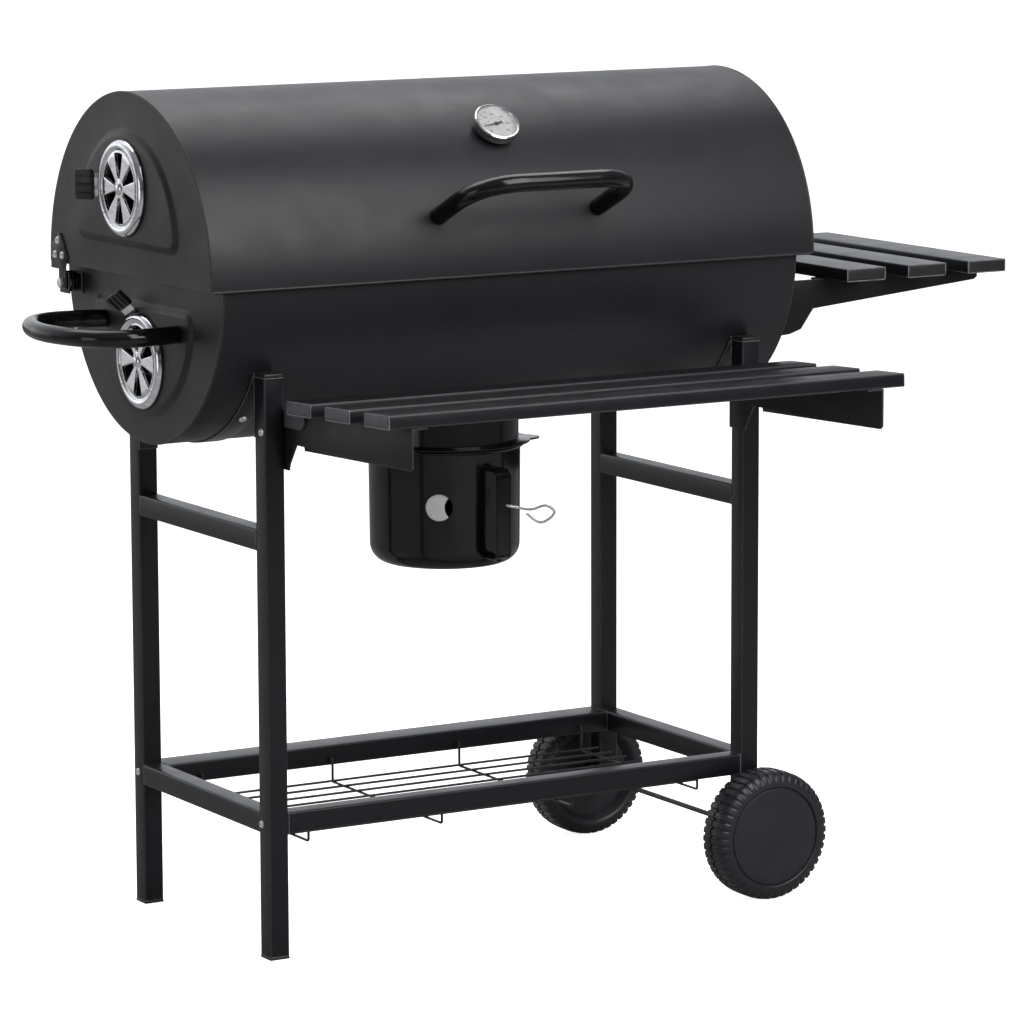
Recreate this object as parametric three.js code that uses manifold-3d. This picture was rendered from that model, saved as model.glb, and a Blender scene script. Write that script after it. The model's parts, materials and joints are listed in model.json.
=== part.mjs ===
// Barrel charcoal grill: a drum with a hinged lid on a four-legged tube stand, with two wheels,
// a slatted front shelf, a slatted side shelf, a wire rack and an ash pot.
// Millimetres. +X runs along the drum to the side shelf, +Y to the back, +Z up.
import * as THREE from 'three';
import { mergeVertices } from 'three/addons/utils/BufferGeometryUtils.js';
import Module from 'manifold-3d';

const wasm = await Module();
wasm.setup();

// ---------------------------------------------------------------- driving dimensions
const gap = 0.3; // clearance between neighbouring pieces
const sheet = 1.2; // drum, lid, pot and collar sheet
const strap = 2; // bracket and hinge plate
const degree = Math.PI / 180;

const standLength = 644; // over the outer faces of the legs, along X
const standDepth = 334.8; // over the outer faces of the legs, along Y
const tube = 24; // square tube of legs and rails
const tubeWall = 1.2;
const frontLegTop = 648.5;
const rearLegTop = 596.5;
const footHeight = 3;
const rightLegBottom = 65; // the right legs end just below the axle
const lowerRailBottom = 141;
const upperRailBottom = 456;
const rearRailDepth = 40; // the lower rear rail is deeper than the others

const drumY = 24; // drum axis, behind the middle of the stand
const drumZ = 750.5;
const bodyRadius = 192.5;
const bodyHalf = 371;
const bodyRim = 756; // height of the fixed half's rim, inside the lid
const lidRadius = 200;
const lidHalf = 390;
const lidRim = 746;
const emboss = 4; // height of the D-shaped pressing in each end plate
const lidPanel = { base: 783, radius: 123 };
const bodyPanel = { base: 713, radius: 120 };

const pivotY = 190; // lid hinge axis
const pivotZ = 724;
const pinRadius = 3;

const ventRadius = 53.6;
const ventOpening = 38; // radius of the hole in the end plate behind a vent
const ventWindows = 6;
const ventWindow = [11, 39.5]; // inner and outer radius of each window
const upperVent = { z: 844, arm: 180 * degree };
const lowerVent = { z: 651, arm: 113 * degree };
const damperTravel = 30 * degree;

const wheelRadius = 76;
const wheelWidth = 46;
const wheelY = 200; // middle plane of each wheel
const axleRadius = 3;

const slatWidth = 54;
const slatThickness = 15;
const slatPitch = 86;
const slatWall = 1.2;
const frontShelf = { half: 325, front: -450.5, bottom: 621, tilt: 2.6 * degree };
const sideShelf = { start: 431, halfLength: 184.5, bottom: 710.5, bracketY: 135 };

const thermometer = { tilt: 42 * degree, bezel: 27, standoff: 16, stem: 60, cold: 192 * degree };

const potX = 12;
const potRadius = 88;
const potTop = 532;
const potBottom = 392.5;
const potHandleTurn = -84 * degree; // round the pot, from +X
const potHandleReach = potRadius + 28;
const potHandleWidth = 18;
const potClipZ = 470;
const handleTube = 10; // outer radius of both handles

// values that follow from them
const legX = standLength / 2 - tube / 2;
const legY = standDepth / 2 - tube / 2;
const inner = tube / 2; // half a tube, from its centre line to a face
const axleZ = wheelRadius;

// ---------------------------------------------------------------- solids
function toSolid(geometry) {
  const bare = geometry.clone();
  bare.deleteAttribute('normal');
  bare.deleteAttribute('uv');
  const merged = mergeVertices(bare, 1e-4);
  const index = merged.index.array;
  const triangles = [];
  for (let i = 0; i < index.length; i += 3) {
    const [a, b, c] = index.subarray(i, i + 3);
    if (a !== b && b !== c && c !== a) triangles.push(a, b, c);
  }
  const mesh = new wasm.Mesh({
    numProp: 3,
    vertProperties: new Float32Array(merged.attributes.position.array),
    triVerts: new Uint32Array(triangles),
  });
  return new wasm.Manifold(mesh);
}

function toGeometry(solid) {
  const mesh = solid.getMesh();
  const geometry = new THREE.BufferGeometry();
  geometry.setAttribute('position', new THREE.BufferAttribute(mesh.vertProperties, 3));
  geometry.setIndex(new THREE.BufferAttribute(mesh.triVerts, 1));
  geometry.computeVertexNormals();
  return geometry;
}

function join(...geometries) {
  return toGeometry(geometries.map(toSolid).reduce((whole, part) => whole.add(part)));
}

function cut(base, ...tools) {
  return toGeometry(tools.map(toSolid).reduce((rest, tool) => rest.subtract(tool), toSolid(base)));
}

// ---------------------------------------------------------------- shapes
function extrude(shape, depth) {
  return new THREE.ExtrudeGeometry(shape, { depth, bevelEnabled: false });
}

// A shape drawn in (y, z), extruded from x0 to x1.
function alongX(shape, x0, x1) {
  const axes = new THREE.Matrix4().makeBasis(
    new THREE.Vector3(0, 1, 0), new THREE.Vector3(0, 0, 1), new THREE.Vector3(1, 0, 0));
  return extrude(shape, x1 - x0).applyMatrix4(axes).translate(x0, 0, 0);
}

// A shape drawn in (x, z), extruded from y0 to y1.
function alongY(shape, y0, y1) {
  const axes = new THREE.Matrix4().makeBasis(
    new THREE.Vector3(1, 0, 0), new THREE.Vector3(0, 0, 1), new THREE.Vector3(0, -1, 0));
  return extrude(shape, y1 - y0).applyMatrix4(axes).translate(0, y1, 0);
}

function alongZ(shape, z0, z1) {
  return extrude(shape, z1 - z0).translate(0, 0, z0);
}

function box(x0, x1, y0, y1, z0, z1) {
  const geometry = new THREE.BoxGeometry(x1 - x0, y1 - y0, z1 - z0);
  return geometry.translate((x0 + x1) / 2, (y0 + y1) / 2, (z0 + z1) / 2);
}

function polygon(points) {
  return new THREE.Shape(points.map(([a, b]) => new THREE.Vector2(a, b)));
}

function rectangle(a0, a1, b0, b1) {
  return polygon([[a0, b0], [a1, b0], [a1, b1], [a0, b1]]);
}

// Points round an arc, its two ends included.
function arc(a, b, radius, from, to, steps) {
  return Array.from({ length: steps + 1 }, (_, i) => {
    const angle = from + ((to - from) * i) / steps;
    return [a + radius * Math.cos(angle), b + radius * Math.sin(angle)];
  });
}

function disc(a, b, radius, segments = 24) {
  return polygon(arc(a, b, radius, 0, 2 * Math.PI, segments).slice(1));
}

// The outline of a hollow box section.
function boxSection(a0, a1, b0, b1, wall) {
  const shape = rectangle(a0, a1, b0, b1);
  shape.holes.push(rectangle(a0 + wall, a1 - wall, b0 + wall, b1 - wall));
  return shape;
}

function ringSector(a, b, inside, outside, from, to, steps) {
  return polygon([...arc(a, b, outside, from, to, steps), ...arc(a, b, inside, to, from, steps)]);
}

function cylinderX(radius, y, z, x0, x1, segments = 24) {
  return alongX(disc(y, z, radius, segments), x0, x1);
}

function cylinderY(radius, x, z, y0, y1, segments = 24) {
  return alongY(disc(x, z, radius, segments), y0, y1);
}

// A lathe about +Z from [radius, height] pairs.
function turned(profile, segments) {
  const points = profile.map(([radius, height]) => new THREE.Vector2(radius, height));
  return new THREE.LatheGeometry(points, segments).rotateX(Math.PI / 2);
}

function tubeAlong(path, steps) {
  const section = disc(0, 0, handleTube, 8);
  section.holes.push(disc(0, 0, handleTube - tubeWall, 8));
  return new THREE.ExtrudeGeometry(section, { extrudePath: path, steps, bevelEnabled: false });
}

// A round hollow tube whose centre line goes through the corners, rounded by the bend.
function bentTube(corners, bend, steps) {
  const path = new THREE.CurvePath();
  const at = corners.map((corner) => new THREE.Vector3(...corner));
  let start = at[0];
  for (let i = 1; i < at.length - 1; i += 1) {
    const before = at[i].clone().lerp(at[i - 1], bend / at[i].distanceTo(at[i - 1]));
    const after = at[i].clone().lerp(at[i + 1], bend / at[i].distanceTo(at[i + 1]));
    path.add(new THREE.LineCurve3(start, before));
    path.add(new THREE.QuadraticBezierCurve3(before, at[i], after));
    start = after;
  }
  path.add(new THREE.LineCurve3(start, at[at.length - 1]));
  return tubeAlong(path, steps);
}

// ---------------------------------------------------------------- scene graph
const grill = new THREE.Group();
const stand = new THREE.Group(); // its origin is on the floor, in the middle of the four legs
grill.add(stand);

const finishes = {
  satin: { color: 0x2b2c2e, roughness: 0.5, metalness: 0.4 },
  gloss: { color: 0x121214, roughness: 0.12, metalness: 0.2 },
  chrome: { color: 0xd8dadc, roughness: 0.12, metalness: 1 },
  zinc: { color: 0xb9bcc0, roughness: 0.35, metalness: 1 },
  wire: { color: 0x26272a, roughness: 0.45, metalness: 0.5 },
  plastic: { color: 0x1b1c1e, roughness: 0.6, metalness: 0 },
  wheel: { color: 0x3a3b3d, roughness: 0.7, metalness: 0 },
  dial: { color: 0xf2f2ee, roughness: 0.5, metalness: 0 },
  glass: { color: 0xffffff, roughness: 0.05, metalness: 0 },
};

function add(name, geometry, finish, parent = stand) {
  const material = new THREE.MeshStandardMaterial(finishes[finish]);
  const mesh = new THREE.Mesh(toGeometry(toSolid(geometry)), material);
  mesh.name = name;
  parent.add(mesh);
}

// ---------------------------------------------------------------- stand
function leg(x, y, z0, z1) {
  return alongZ(boxSection(x - inner, x + inner, y - inner, y + inner, tubeWall), z0, z1);
}

function cap(x, y, z0, z1, plugFrom, plugTo) {
  const plug = inner - tubeWall - gap;
  return join(
    box(x - inner, x + inner, y - inner, y + inner, z0, z1),
    box(x - plug, x + plug, y - plug, y + plug, plugFrom, plugTo));
}

function addLegs() {
  const plugLength = 12;
  const capHeight = 4;
  const axleHole = cylinderY(axleRadius + gap, legX, axleZ, -standDepth, standDepth, 16);
  for (const [name, y, top] of [['front', -legY, frontLegTop], ['rear', legY, rearLegTop]]) {
    add(`leg_${name}_left`, leg(-legX, y, footHeight, top), 'satin');
    add(`leg_${name}_right`, cut(leg(legX, y, rightLegBottom, top), axleHole), 'satin');
    const foot = cap(-legX, y, 0, footHeight - gap, footHeight - 1, footHeight + plugLength);
    add(`foot_${name}_left`, foot, 'plastic');
  }
  for (const [name, x] of [['left', -legX], ['right', legX]]) {
    const from = frontLegTop + gap;
    const topCap = cap(x, -legY, from, from + capHeight, frontLegTop - plugLength, from + 1);
    add(`leg_cap_${name}`, topCap, 'plastic');
  }
}

function railX(depthFrom, depthTo, z) {
  const end = legX - inner - gap;
  return alongX(boxSection(depthFrom, depthTo, z, z + tube, tubeWall), -end, end);
}

function railY(x, z) {
  const end = legY - inner - gap;
  return alongY(boxSection(x - inner, x + inner, z, z + tube, tubeWall), -end, end);
}

function addRails() {
  const outside = standDepth / 2;
  add('rail_lower_front', railX(-outside, -outside + tube, lowerRailBottom), 'satin');
  add('rail_lower_rear', railX(outside - rearRailDepth, outside, lowerRailBottom), 'satin');
  for (const [name, x] of [['left', -legX], ['right', legX]]) {
    add(`rail_lower_${name}`, railY(x, lowerRailBottom), 'satin');
    add(`rail_upper_${name}`, railY(x, upperRailBottom), 'satin');
  }
}

// Eight long wires lie on four cross wires, whose ends rise and hook into the two lower rails.
function addRack() {
  const wire = 1.5; // half the thickness of a rack wire
  const longWires = 8;
  const wirePitch = 31;
  const longHalf = 277;
  const crossX = [-257, -86, 86, 257];
  const longZ = 125;
  const crossZ = longZ - 2 * wire + 0.5;
  const rearWireY = 114.6;
  const hookZ = 150;
  const rise = 6; // from a rail's inner face to the rising end of a wire
  const railFaces = [-standDepth / 2 + tube + gap, standDepth / 2 - rearRailDepth - gap];
  const parts = [];
  for (let i = 0; i < longWires; i += 1) {
    const y = rearWireY - i * wirePitch;
    parts.push(box(-longHalf, longHalf, y - wire, y + wire, longZ - wire, longZ + wire));
  }
  for (const x of crossX) {
    const [x0, x1] = [x - wire, x + wire];
    const [front, rear] = [railFaces[0] + rise, railFaces[1] - rise];
    parts.push(box(x0, x1, front - wire, rear + wire, crossZ - wire, crossZ + wire));
    parts.push(box(x0, x1, front - wire, front + wire, crossZ, hookZ + wire));
    parts.push(box(x0, x1, rear - wire, rear + wire, crossZ, hookZ + wire));
    parts.push(box(x0, x1, railFaces[0], front, hookZ - wire, hookZ + wire));
    parts.push(box(x0, x1, rear, railFaces[1], hookZ - wire, hookZ + wire));
  }
  add('wire_rack', join(...parts), 'wire');
}

// ---------------------------------------------------------------- wheels
function addWheels() {
  const bore = axleRadius + gap;
  const boreDepth = wheelWidth - 8;
  const tyreInside = 58;
  const shoulder = 69;
  // [radius, distance from the inner side]: blind bore, recessed back, tread, dished hub cap.
  const profile = [
    [0, boreDepth], [bore, boreDepth], [bore, 0], [14, 0], [18, 12], [53, 12], [tyreInside, 1],
    [shoulder, 1], [wheelRadius, 7], [wheelRadius, wheelWidth - 7], [shoulder, wheelWidth],
    [tyreInside, wheelWidth], [53, wheelWidth - 4], [0, wheelWidth - 1],
  ];
  const reach = wheelY - wheelWidth / 2 + boreDepth - 1;
  add('axle', cylinderY(axleRadius, legX, axleZ, -reach, reach, 12), 'zinc');
  for (const [name, side] of [['front', -1], ['rear', 1]]) {
    const wheel = turned(profile, 32).rotateX((-side * Math.PI) / 2);
    wheel.translate(legX, side * (wheelY - wheelWidth / 2), axleZ);
    add(`wheel_${name}`, wheel, 'wheel');
  }
}

// ---------------------------------------------------------------- drum and lid
// Orders the two ends of a span that runs outward from an end plate on the given side.
function span(side, from, to) {
  return side < 0 ? [-to, -from] : [from, to];
}

// A D-shaped outline: a half disc with rounded corners, bulging up (+1) or down (-1).
function panelShape({ base, radius }, direction, inset = 0) {
  const r = radius - inset;
  const flat = base + direction * inset;
  const corner = 14;
  const start = direction * Math.asin((2 * corner) / r);
  const rim = arc(drumY, flat, r, start, direction * Math.PI - start, 16);
  const near = [[drumY - r + corner / 4, flat + (direction * corner) / 2], [drumY - r + corner, flat]];
  const far = [[drumY + r - corner, flat], [drumY + r - corner / 4, flat + (direction * corner) / 2]];
  return polygon([...rim, ...near, ...far]);
}

// A flat end plate with a raised D panel pressed outward and, at the left end, a hole behind its vent.
function endPlate(side, half, radius, from, to, panel, direction, ventZ) {
  const plate = polygon(arc(drumY, drumZ, radius, from, to, 32));
  const raised = alongX(panelShape(panel, direction), ...span(side, half - sheet / 2, half + emboss));
  const deep = half - 2 * emboss;
  const hollow = alongX(
    panelShape(panel, direction, sheet), ...span(side, deep, half + emboss - sheet));
  const pressed = join(alongX(plate, ...span(side, half - sheet, half)), raised);
  if (side > 0) return cut(pressed, hollow);
  return cut(pressed, hollow, cylinderX(ventOpening, drumY, ventZ, ...span(side, deep, half + 2 * emboss)));
}

function addBody() {
  const rim = Math.asin((bodyRim - drumZ) / bodyRadius);
  const [from, to] = [Math.PI - rim, 2 * Math.PI + rim];
  const shellHalf = bodyHalf - sheet - gap;
  const trough = alongX(
    ringSector(drumY, drumZ, bodyRadius - sheet, bodyRadius, from, to, 48), -shellHalf, shellHalf);
  const ashOpening = 70; // radius of the hole that ash falls through
  const bottom = drumZ - bodyRadius;
  const ashHole = alongZ(disc(potX, drumY, ashOpening), bottom - 10, bottom + 60);
  add('barrel_shell', cut(trough, ashHole), 'satin');
  const ledge = { half: 120, top: 729.5, reach: 14 }; // carries the cooking grates
  for (const [name, side] of [['left', -1], ['right', 1]]) {
    const plate = endPlate(side, bodyHalf, bodyRadius, from, to, bodyPanel, -1, lowerVent.z);
    const shelf = box(
      ...span(side, bodyHalf - ledge.reach, bodyHalf - sheet / 2),
      drumY - ledge.half, drumY + ledge.half, ledge.top - sheet, ledge.top);
    add(`barrel_end_${name}`, join(plate, shelf), 'satin');
  }
}

function addLid() {
  const rim = Math.asin((lidRim - drumZ) / lidRadius);
  const [from, to] = [rim, Math.PI - rim];
  const shellHalf = lidHalf - sheet - gap;
  const arch = alongX(
    ringSector(drumY, drumZ, lidRadius - sheet, lidRadius, from, to, 48), -shellHalf, shellHalf);
  const stemHole = alongZ(disc(0, 0, 5, 12), lidRadius - 20, lidRadius + 20);
  stemHole.rotateX(thermometer.tilt).translate(0, drumY, drumZ);
  add('lid_shell', cut(arch, stemHole), 'satin');
  for (const [name, side] of [['left', -1], ['right', 1]]) {
    const plate = endPlate(side, lidHalf, lidRadius, from, to, lidPanel, 1, upperVent.z);
    add(`lid_end_${name}`, plate, 'satin');
  }
}

// ---------------------------------------------------------------- hinges
function addHinges() {
  const ear = 12; // half width of the bracket, a channel that opens to the front round the pin
  const head = 6; // radius of the pin's two heads
  const earX = [lidHalf - gap * 2 - strap, lidHalf - gap * 2];
  const plateX = [lidHalf + gap, lidHalf + gap + strap];
  for (const [name, side] of [['left', -1], ['right', 1]]) {
    const hole = cylinderX(pinRadius + gap, pivotY, pivotZ, ...span(side, bodyHalf, 2 * lidHalf), 16);
    const outline = polygon([
      [pivotY - 8, pivotZ - 7], [pivotY + 8, pivotZ - 7], [pivotY + 8, lidRim - 7],
      [pivotY + 28, lidRim - 7], [pivotY + 26, lidRim + 20], [pivotY + 6, lidRim + 34],
      [pivotY - 12, lidRim + 8], [pivotY - 8, lidRim - 4],
    ]);
    add(`hinge_plate_${name}`, cut(alongX(outline, ...span(side, ...plateX)), hole), 'satin');
    const foot = bodyHalf + gap;
    const bracket = join(
      box(...span(side, foot, foot + strap), pivotY - ear, pivotY + ear, pivotZ - ear, pivotZ + ear),
      box(...span(side, foot, earX[1]), pivotY + ear - strap, pivotY + ear, pivotZ - ear, pivotZ + ear),
      box(...span(side, ...earX), pivotY - ear, pivotY + ear, pivotZ - ear, pivotZ + ear));
    add(`hinge_bracket_${name}`, cut(bracket, hole), 'satin');
    const pin = join(
      cylinderX(pinRadius, pivotY, pivotZ, ...span(side, earX[0] - 5, plateX[1] + 3), 16),
      cylinderX(head, pivotY, pivotZ, ...span(side, plateX[1] + gap, plateX[1] + 4), 6),
      cylinderX(head, pivotY, pivotZ, ...span(side, earX[0] - 5, earX[0] - 1), 6));
    add(`hinge_pin_${name}`, pin, 'zinc');
  }
}

// ---------------------------------------------------------------- vents
function windowed(radius) {
  const plate = disc(0, 0, radius, 32);
  for (let i = 0; i < ventWindows; i += 1) {
    const middle = Math.PI / 2 + (i * 2 * Math.PI) / ventWindows;
    const half = Math.PI / ventWindows / 2;
    plate.holes.push(ringSector(0, 0, ...ventWindow, middle - half, middle + half, 3));
  }
  return plate;
}

// Built lying flat, +Z outward from the end plate and +Y up, then stood against the end plate.
function addVent(name, face, { z, arm }) {
  const vent = new THREE.Group();
  const outward = new THREE.Matrix4().makeBasis(
    new THREE.Vector3(0, -1, 0), new THREE.Vector3(0, 0, 1), new THREE.Vector3(-1, 0, 0));
  vent.setRotationFromMatrix(outward);
  vent.position.set(-face, drumY, z);
  stand.add(vent);

  const armHalf = 7;
  const damperZ = 2;
  const faceZ = 5;
  const slotHalf = Math.asin((armHalf + 2) / ventRadius);
  const slot = ringSector(
    0, 0, ventRadius - 4, ventRadius + 4, arm - slotHalf - damperTravel, arm + slotHalf, 6);
  const wall = disc(0, 0, ventRadius, 32);
  wall.holes.push(disc(0, 0, ventRadius - sheet, 32));
  const rivet = turned(
    [[0, 0.5], [pinRadius, 0.5], [pinRadius, 5.5], [6, 5.5], [6, 7], [3, 8.5], [0, 9]], 12);
  const cover = join(
    alongZ(windowed(ventRadius), faceZ, faceZ + 1), alongZ(wall, gap, faceZ + 0.5), rivet);
  add(`vent_cover_${name}`, cut(cover, alongZ(slot, damperZ - 1, damperZ + 2)), 'chrome', vent);

  const plate = windowed(ventRadius - 3);
  plate.holes.push(disc(0, 0, pinRadius + gap, 12));
  const elbow = ventRadius + 4;
  const lift = 40 * degree;
  const level = box(ventRadius - 8, elbow + 0.5, -armHalf, armHalf, damperZ, damperZ + 1);
  const raised = box(0, 16, -armHalf, armHalf, 0, 1).rotateY(-lift).translate(elbow, 0, damperZ);
  const tab = join(level, raised).rotateZ(arm);
  const damper = join(alongZ(plate, damperZ, damperZ + 1), tab);
  add(`vent_damper_${name}`, damper, 'chrome', vent);

  const pocket = box(0, 17, -armHalf - gap, armHalf + gap, -gap, 1 + gap);
  const block = box(7, 28, -17, 17, -2.5, 3.5);
  const grip = cut(block, pocket).rotateY(-lift).translate(elbow, 0, damperZ).rotateZ(arm);
  add(`vent_grip_${name}`, grip, 'plastic', vent);
}

// ---------------------------------------------------------------- thermometer
function addThermometer() {
  const gauge = new THREE.Group(); // +Z along the lid's outward normal, origin on the lid's surface
  gauge.rotation.x = thermometer.tilt;
  gauge.position.set(
    0, drumY - lidRadius * Math.sin(thermometer.tilt), drumZ + lidRadius * Math.cos(thermometer.tilt));
  stand.add(gauge);
  const { bezel, standoff, stem, cold } = thermometer;
  const dialZ = standoff - 5;
  const profile = [
    [0, -stem], [2.5, -stem], [2.5, -6], [4, -6], [4, 2], [bezel - 2, 4], [bezel, 10],
    [bezel, standoff], [bezel - 3, standoff], [bezel - 3, dialZ], [0, dialZ],
  ];
  add('thermometer_case', turned(profile, 24), 'chrome', gauge);
  const edge = bezel - 3 - gap;
  const [under, over] = [dialZ + gap, dialZ + 0.8];
  const dial = turned([[1.8, under], [edge, under], [edge, over], [1.8, over], [1.8, under]], 24);
  add('thermometer_dial', dial, 'dial', gauge);
  const hub = turned([
    [0, under], [1.4, under], [1.4, over + 0.5], [2.4, over + 0.5], [2.4, over + 1.5], [0, over + 1.5],
  ], 12);
  const pointer = polygon([[-6, -1.2], [19, -0.5], [19, 0.5], [-6, 1.2]]);
  const needle = join(hub, alongZ(pointer, over + 0.6, over + 1.2)).rotateZ(cold);
  add('thermometer_needle', needle, 'plastic', gauge);
  const lensZ = standoff - 1.8;
  const lens = turned([[0, lensZ], [edge, lensZ], [edge, lensZ + 0.8], [0, lensZ + 0.8]], 24);
  add('thermometer_lens', lens, 'glass', gauge);
}

// ---------------------------------------------------------------- handles
function addHandles() {
  const footX = 103;
  const footAngle = 18.3 * degree; // height of the feet on the lid's curve
  const lean = 24.5 * degree;
  const reach = 100;
  const sunk = 12; // the legs start inside the lid and are trimmed to its surface
  const point = (x, along) => [
    x,
    drumY - lidRadius * Math.cos(footAngle) - along * Math.cos(lean),
    drumZ + lidRadius * Math.sin(footAngle) + along * Math.sin(lean),
  ];
  const bow = bentTube(
    [point(-footX, -sunk), point(-footX, reach), point(footX, reach), point(footX, -sunk)], 52, 18);
  const lidClear = cylinderX(lidRadius + gap, drumY, drumZ, -lidHalf, lidHalf, 96);
  add('lid_handle', cut(bow, lidClear), 'gloss');

  // A horseshoe, a little wider in the middle than at its feet, trimmed to the end plate's panel.
  const handleZ = 690;
  const root = -bodyHalf;
  const near = [[root, 88], [root - 30, 97], [root - 72, 98], [root - 106, 68]];
  const middle = [[root - 122, 0]];
  const far = near.map(([x, side]) => [x, -side]).reverse();
  const path = new THREE.CatmullRomCurve3(
    [...near, ...middle, ...far].map(([x, side]) => new THREE.Vector3(x, drumY - side, handleZ)));
  const panelFace = -bodyHalf - emboss - gap;
  const trim = box(panelFace, panelFace + 50, -300, 300, handleZ - 50, handleZ + 50);
  add('side_handle', cut(tubeAlong(path, 24), trim), 'gloss');
}

// ---------------------------------------------------------------- shelves
// The whole front shelf tips up a little towards its front edge, about the middle slat.
function addFrontShelf() {
  const { half, front, bottom, tilt } = frontShelf;
  const pivot = front + slatPitch + slatWidth / 2;
  const tipped = (geometry) => geometry
    .translate(0, -pivot, -bottom).rotateX(-tilt).translate(0, pivot, bottom);
  for (let i = 0; i < 3; i += 1) {
    const y = front + i * slatPitch;
    const section = boxSection(y, y + slatWidth, bottom, bottom + slatThickness, slatWall);
    add(`front_slat_${i + 1}`, tipped(alongX(section, -half, half)), 'satin');
  }
  const top = (y) => bottom - gap - (y - pivot) * Math.tan(tilt);
  const legBack = -standDepth / 2 + tube;
  const tip = front + 1;
  const outline = polygon([
    [legBack, 547], [-176, 547], [-178, 554], [-194, 577], [-212, 577], [-213, 573],
    [tip + 4, 580.5], [tip, 584], [tip, top(tip)], [legBack, top(legBack)],
  ]);
  const back = front + 2 * slatPitch + slatWidth;
  for (const [name, side] of [['left', -1], ['right', 1]]) {
    const face = legX - inner - gap;
    const web = alongX(outline, ...span(side, face - strap, face));
    const flat = bottom - gap;
    const seat = tipped(box(...span(side, face - 20, face - strap / 2), tip + 1, back, flat - strap, flat));
    add(`front_bracket_${name}`, join(web, seat), 'satin');
  }
}

function addSideShelf() {
  const { start, halfLength, bottom, bracketY } = sideShelf;
  for (let i = 0; i < 3; i += 1) {
    const x = start + i * slatPitch;
    const section = boxSection(x, x + slatWidth, bottom, bottom + slatThickness, slatWall);
    add(`side_slat_${i + 1}`, alongY(section, -halfLength, halfLength), 'satin');
  }
  const top = bottom - gap;
  const footBottom = 647;
  const tip = start + 2 * slatPitch + slatWidth - 5;
  const flange = 20; // width of the folded edges, turned towards the middle
  // The drum's panel is off the shelf's middle, so only the rear bracket stands on it.
  for (const [name, side, root] of [['front', -1, bodyHalf + gap], ['rear', 1, bodyHalf + emboss + gap]]) {
    const outline = polygon([
      [root, footBottom], [root + 13, footBottom + 1], [root + 29, footBottom + 6], [root + 46, 676],
      [tip - 5, 697], [tip, 700], [tip, top], [root, top],
    ]);
    const across = span(side, bracketY - flange, bracketY);
    const web = alongY(outline, ...span(side, bracketY - strap, bracketY));
    const foot = box(root, root + strap, ...across, footBottom, top);
    const seat = box(start - 4, tip, ...across, top - strap, top);
    add(`side_bracket_${name}`, join(web, foot, seat), 'satin');
  }
}

// ---------------------------------------------------------------- cradles
// A strap bent round the underside of the drum, with a tab down the inner face of each leg.
function addCradles() {
  const inside = bodyRadius + gap;
  const thickness = 1.5;
  const face = legY - inner - gap;
  const middle = inside + thickness / 2;
  const from = 2 * Math.PI - Math.acos((-face + thickness / 2 - drumY) / middle);
  const to = 2 * Math.PI - Math.acos((legY + inner - drumY) / middle);
  const shape = ringSector(drumY, drumZ, inside, inside + thickness, from, to, 24);
  const frontTabTop = drumZ + middle * Math.sin(from);
  const rearTabTop = drumZ - Math.sqrt(middle ** 2 - (face - drumY) ** 2) - thickness / 4;
  const [frontTabBottom, rearTabBottom] = [frontTabTop - 70, rearTabTop - 65];
  for (const [name, side] of [['left', -1], ['right', 1]]) {
    const [x0, x1] = span(side, legX - inner, legX + inner);
    const frontTab = box(x0, x1, -face, -face + thickness, frontTabBottom, frontTabTop);
    const rearTab = box(x0, x1, face - thickness, face, rearTabBottom, rearTabTop);
    add(`cradle_${name}`, join(alongX(shape, x0, x1), frontTab, rearTab), 'satin');
  }
}

// ---------------------------------------------------------------- ash collar and pot
function addAshCollar() {
  const flange = 99;
  const flangeThickness = 2;
  const ear = { from: 80, reach: 112, half: 26, tip: 12, turn: -20 * degree };
  const radius = potRadius - 2;
  const bottom = potTop + gap;
  const top = 600; // trimmed back to the underside of the drum
  const collar = turned([
    [radius - sheet, bottom], [flange, bottom], [flange, bottom + flangeThickness],
    [radius, bottom + flangeThickness], [radius, top], [radius - sheet, top], [radius - sheet, bottom],
  ], 32);
  const tongue = alongZ(polygon([
    [ear.from + 8, -ear.half], [ear.reach - 8, -ear.tip], [ear.reach, 0],
    [ear.reach - 8, ear.tip], [ear.from + 8, ear.half],
  ]), bottom, bottom + flangeThickness).rotateZ(ear.turn);
  const drum = cylinderX(bodyRadius + 2 * gap, drumY, drumZ, -200, 200, 96);
  add('ash_collar', cut(join(collar, tongue).translate(potX, drumY, 0), drum), 'gloss');
}

// A strap standing out from the pot's side like the handle of a mug, as an outline in (radius, z).
function potHandleStrap() {
  const thickness = 1.5;
  const [top, bottom] = [potTop - 22, potBottom + 16];
  const corner = 10;
  const loop = (out) => [
    ...arc(potHandleReach - corner, bottom + corner, corner + out, -Math.PI / 2, 0, 4),
    ...arc(potHandleReach - corner, top - corner, corner + out, 0, Math.PI / 2, 4),
  ];
  const root = potRadius - 2.5;
  const outline = polygon([
    [root, bottom], ...loop(0), [root, top], [root, top - thickness],
    ...loop(-thickness).reverse(), [root, bottom + thickness],
  ]);
  return alongY(outline, -potHandleWidth / 2, potHandleWidth / 2);
}

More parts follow.
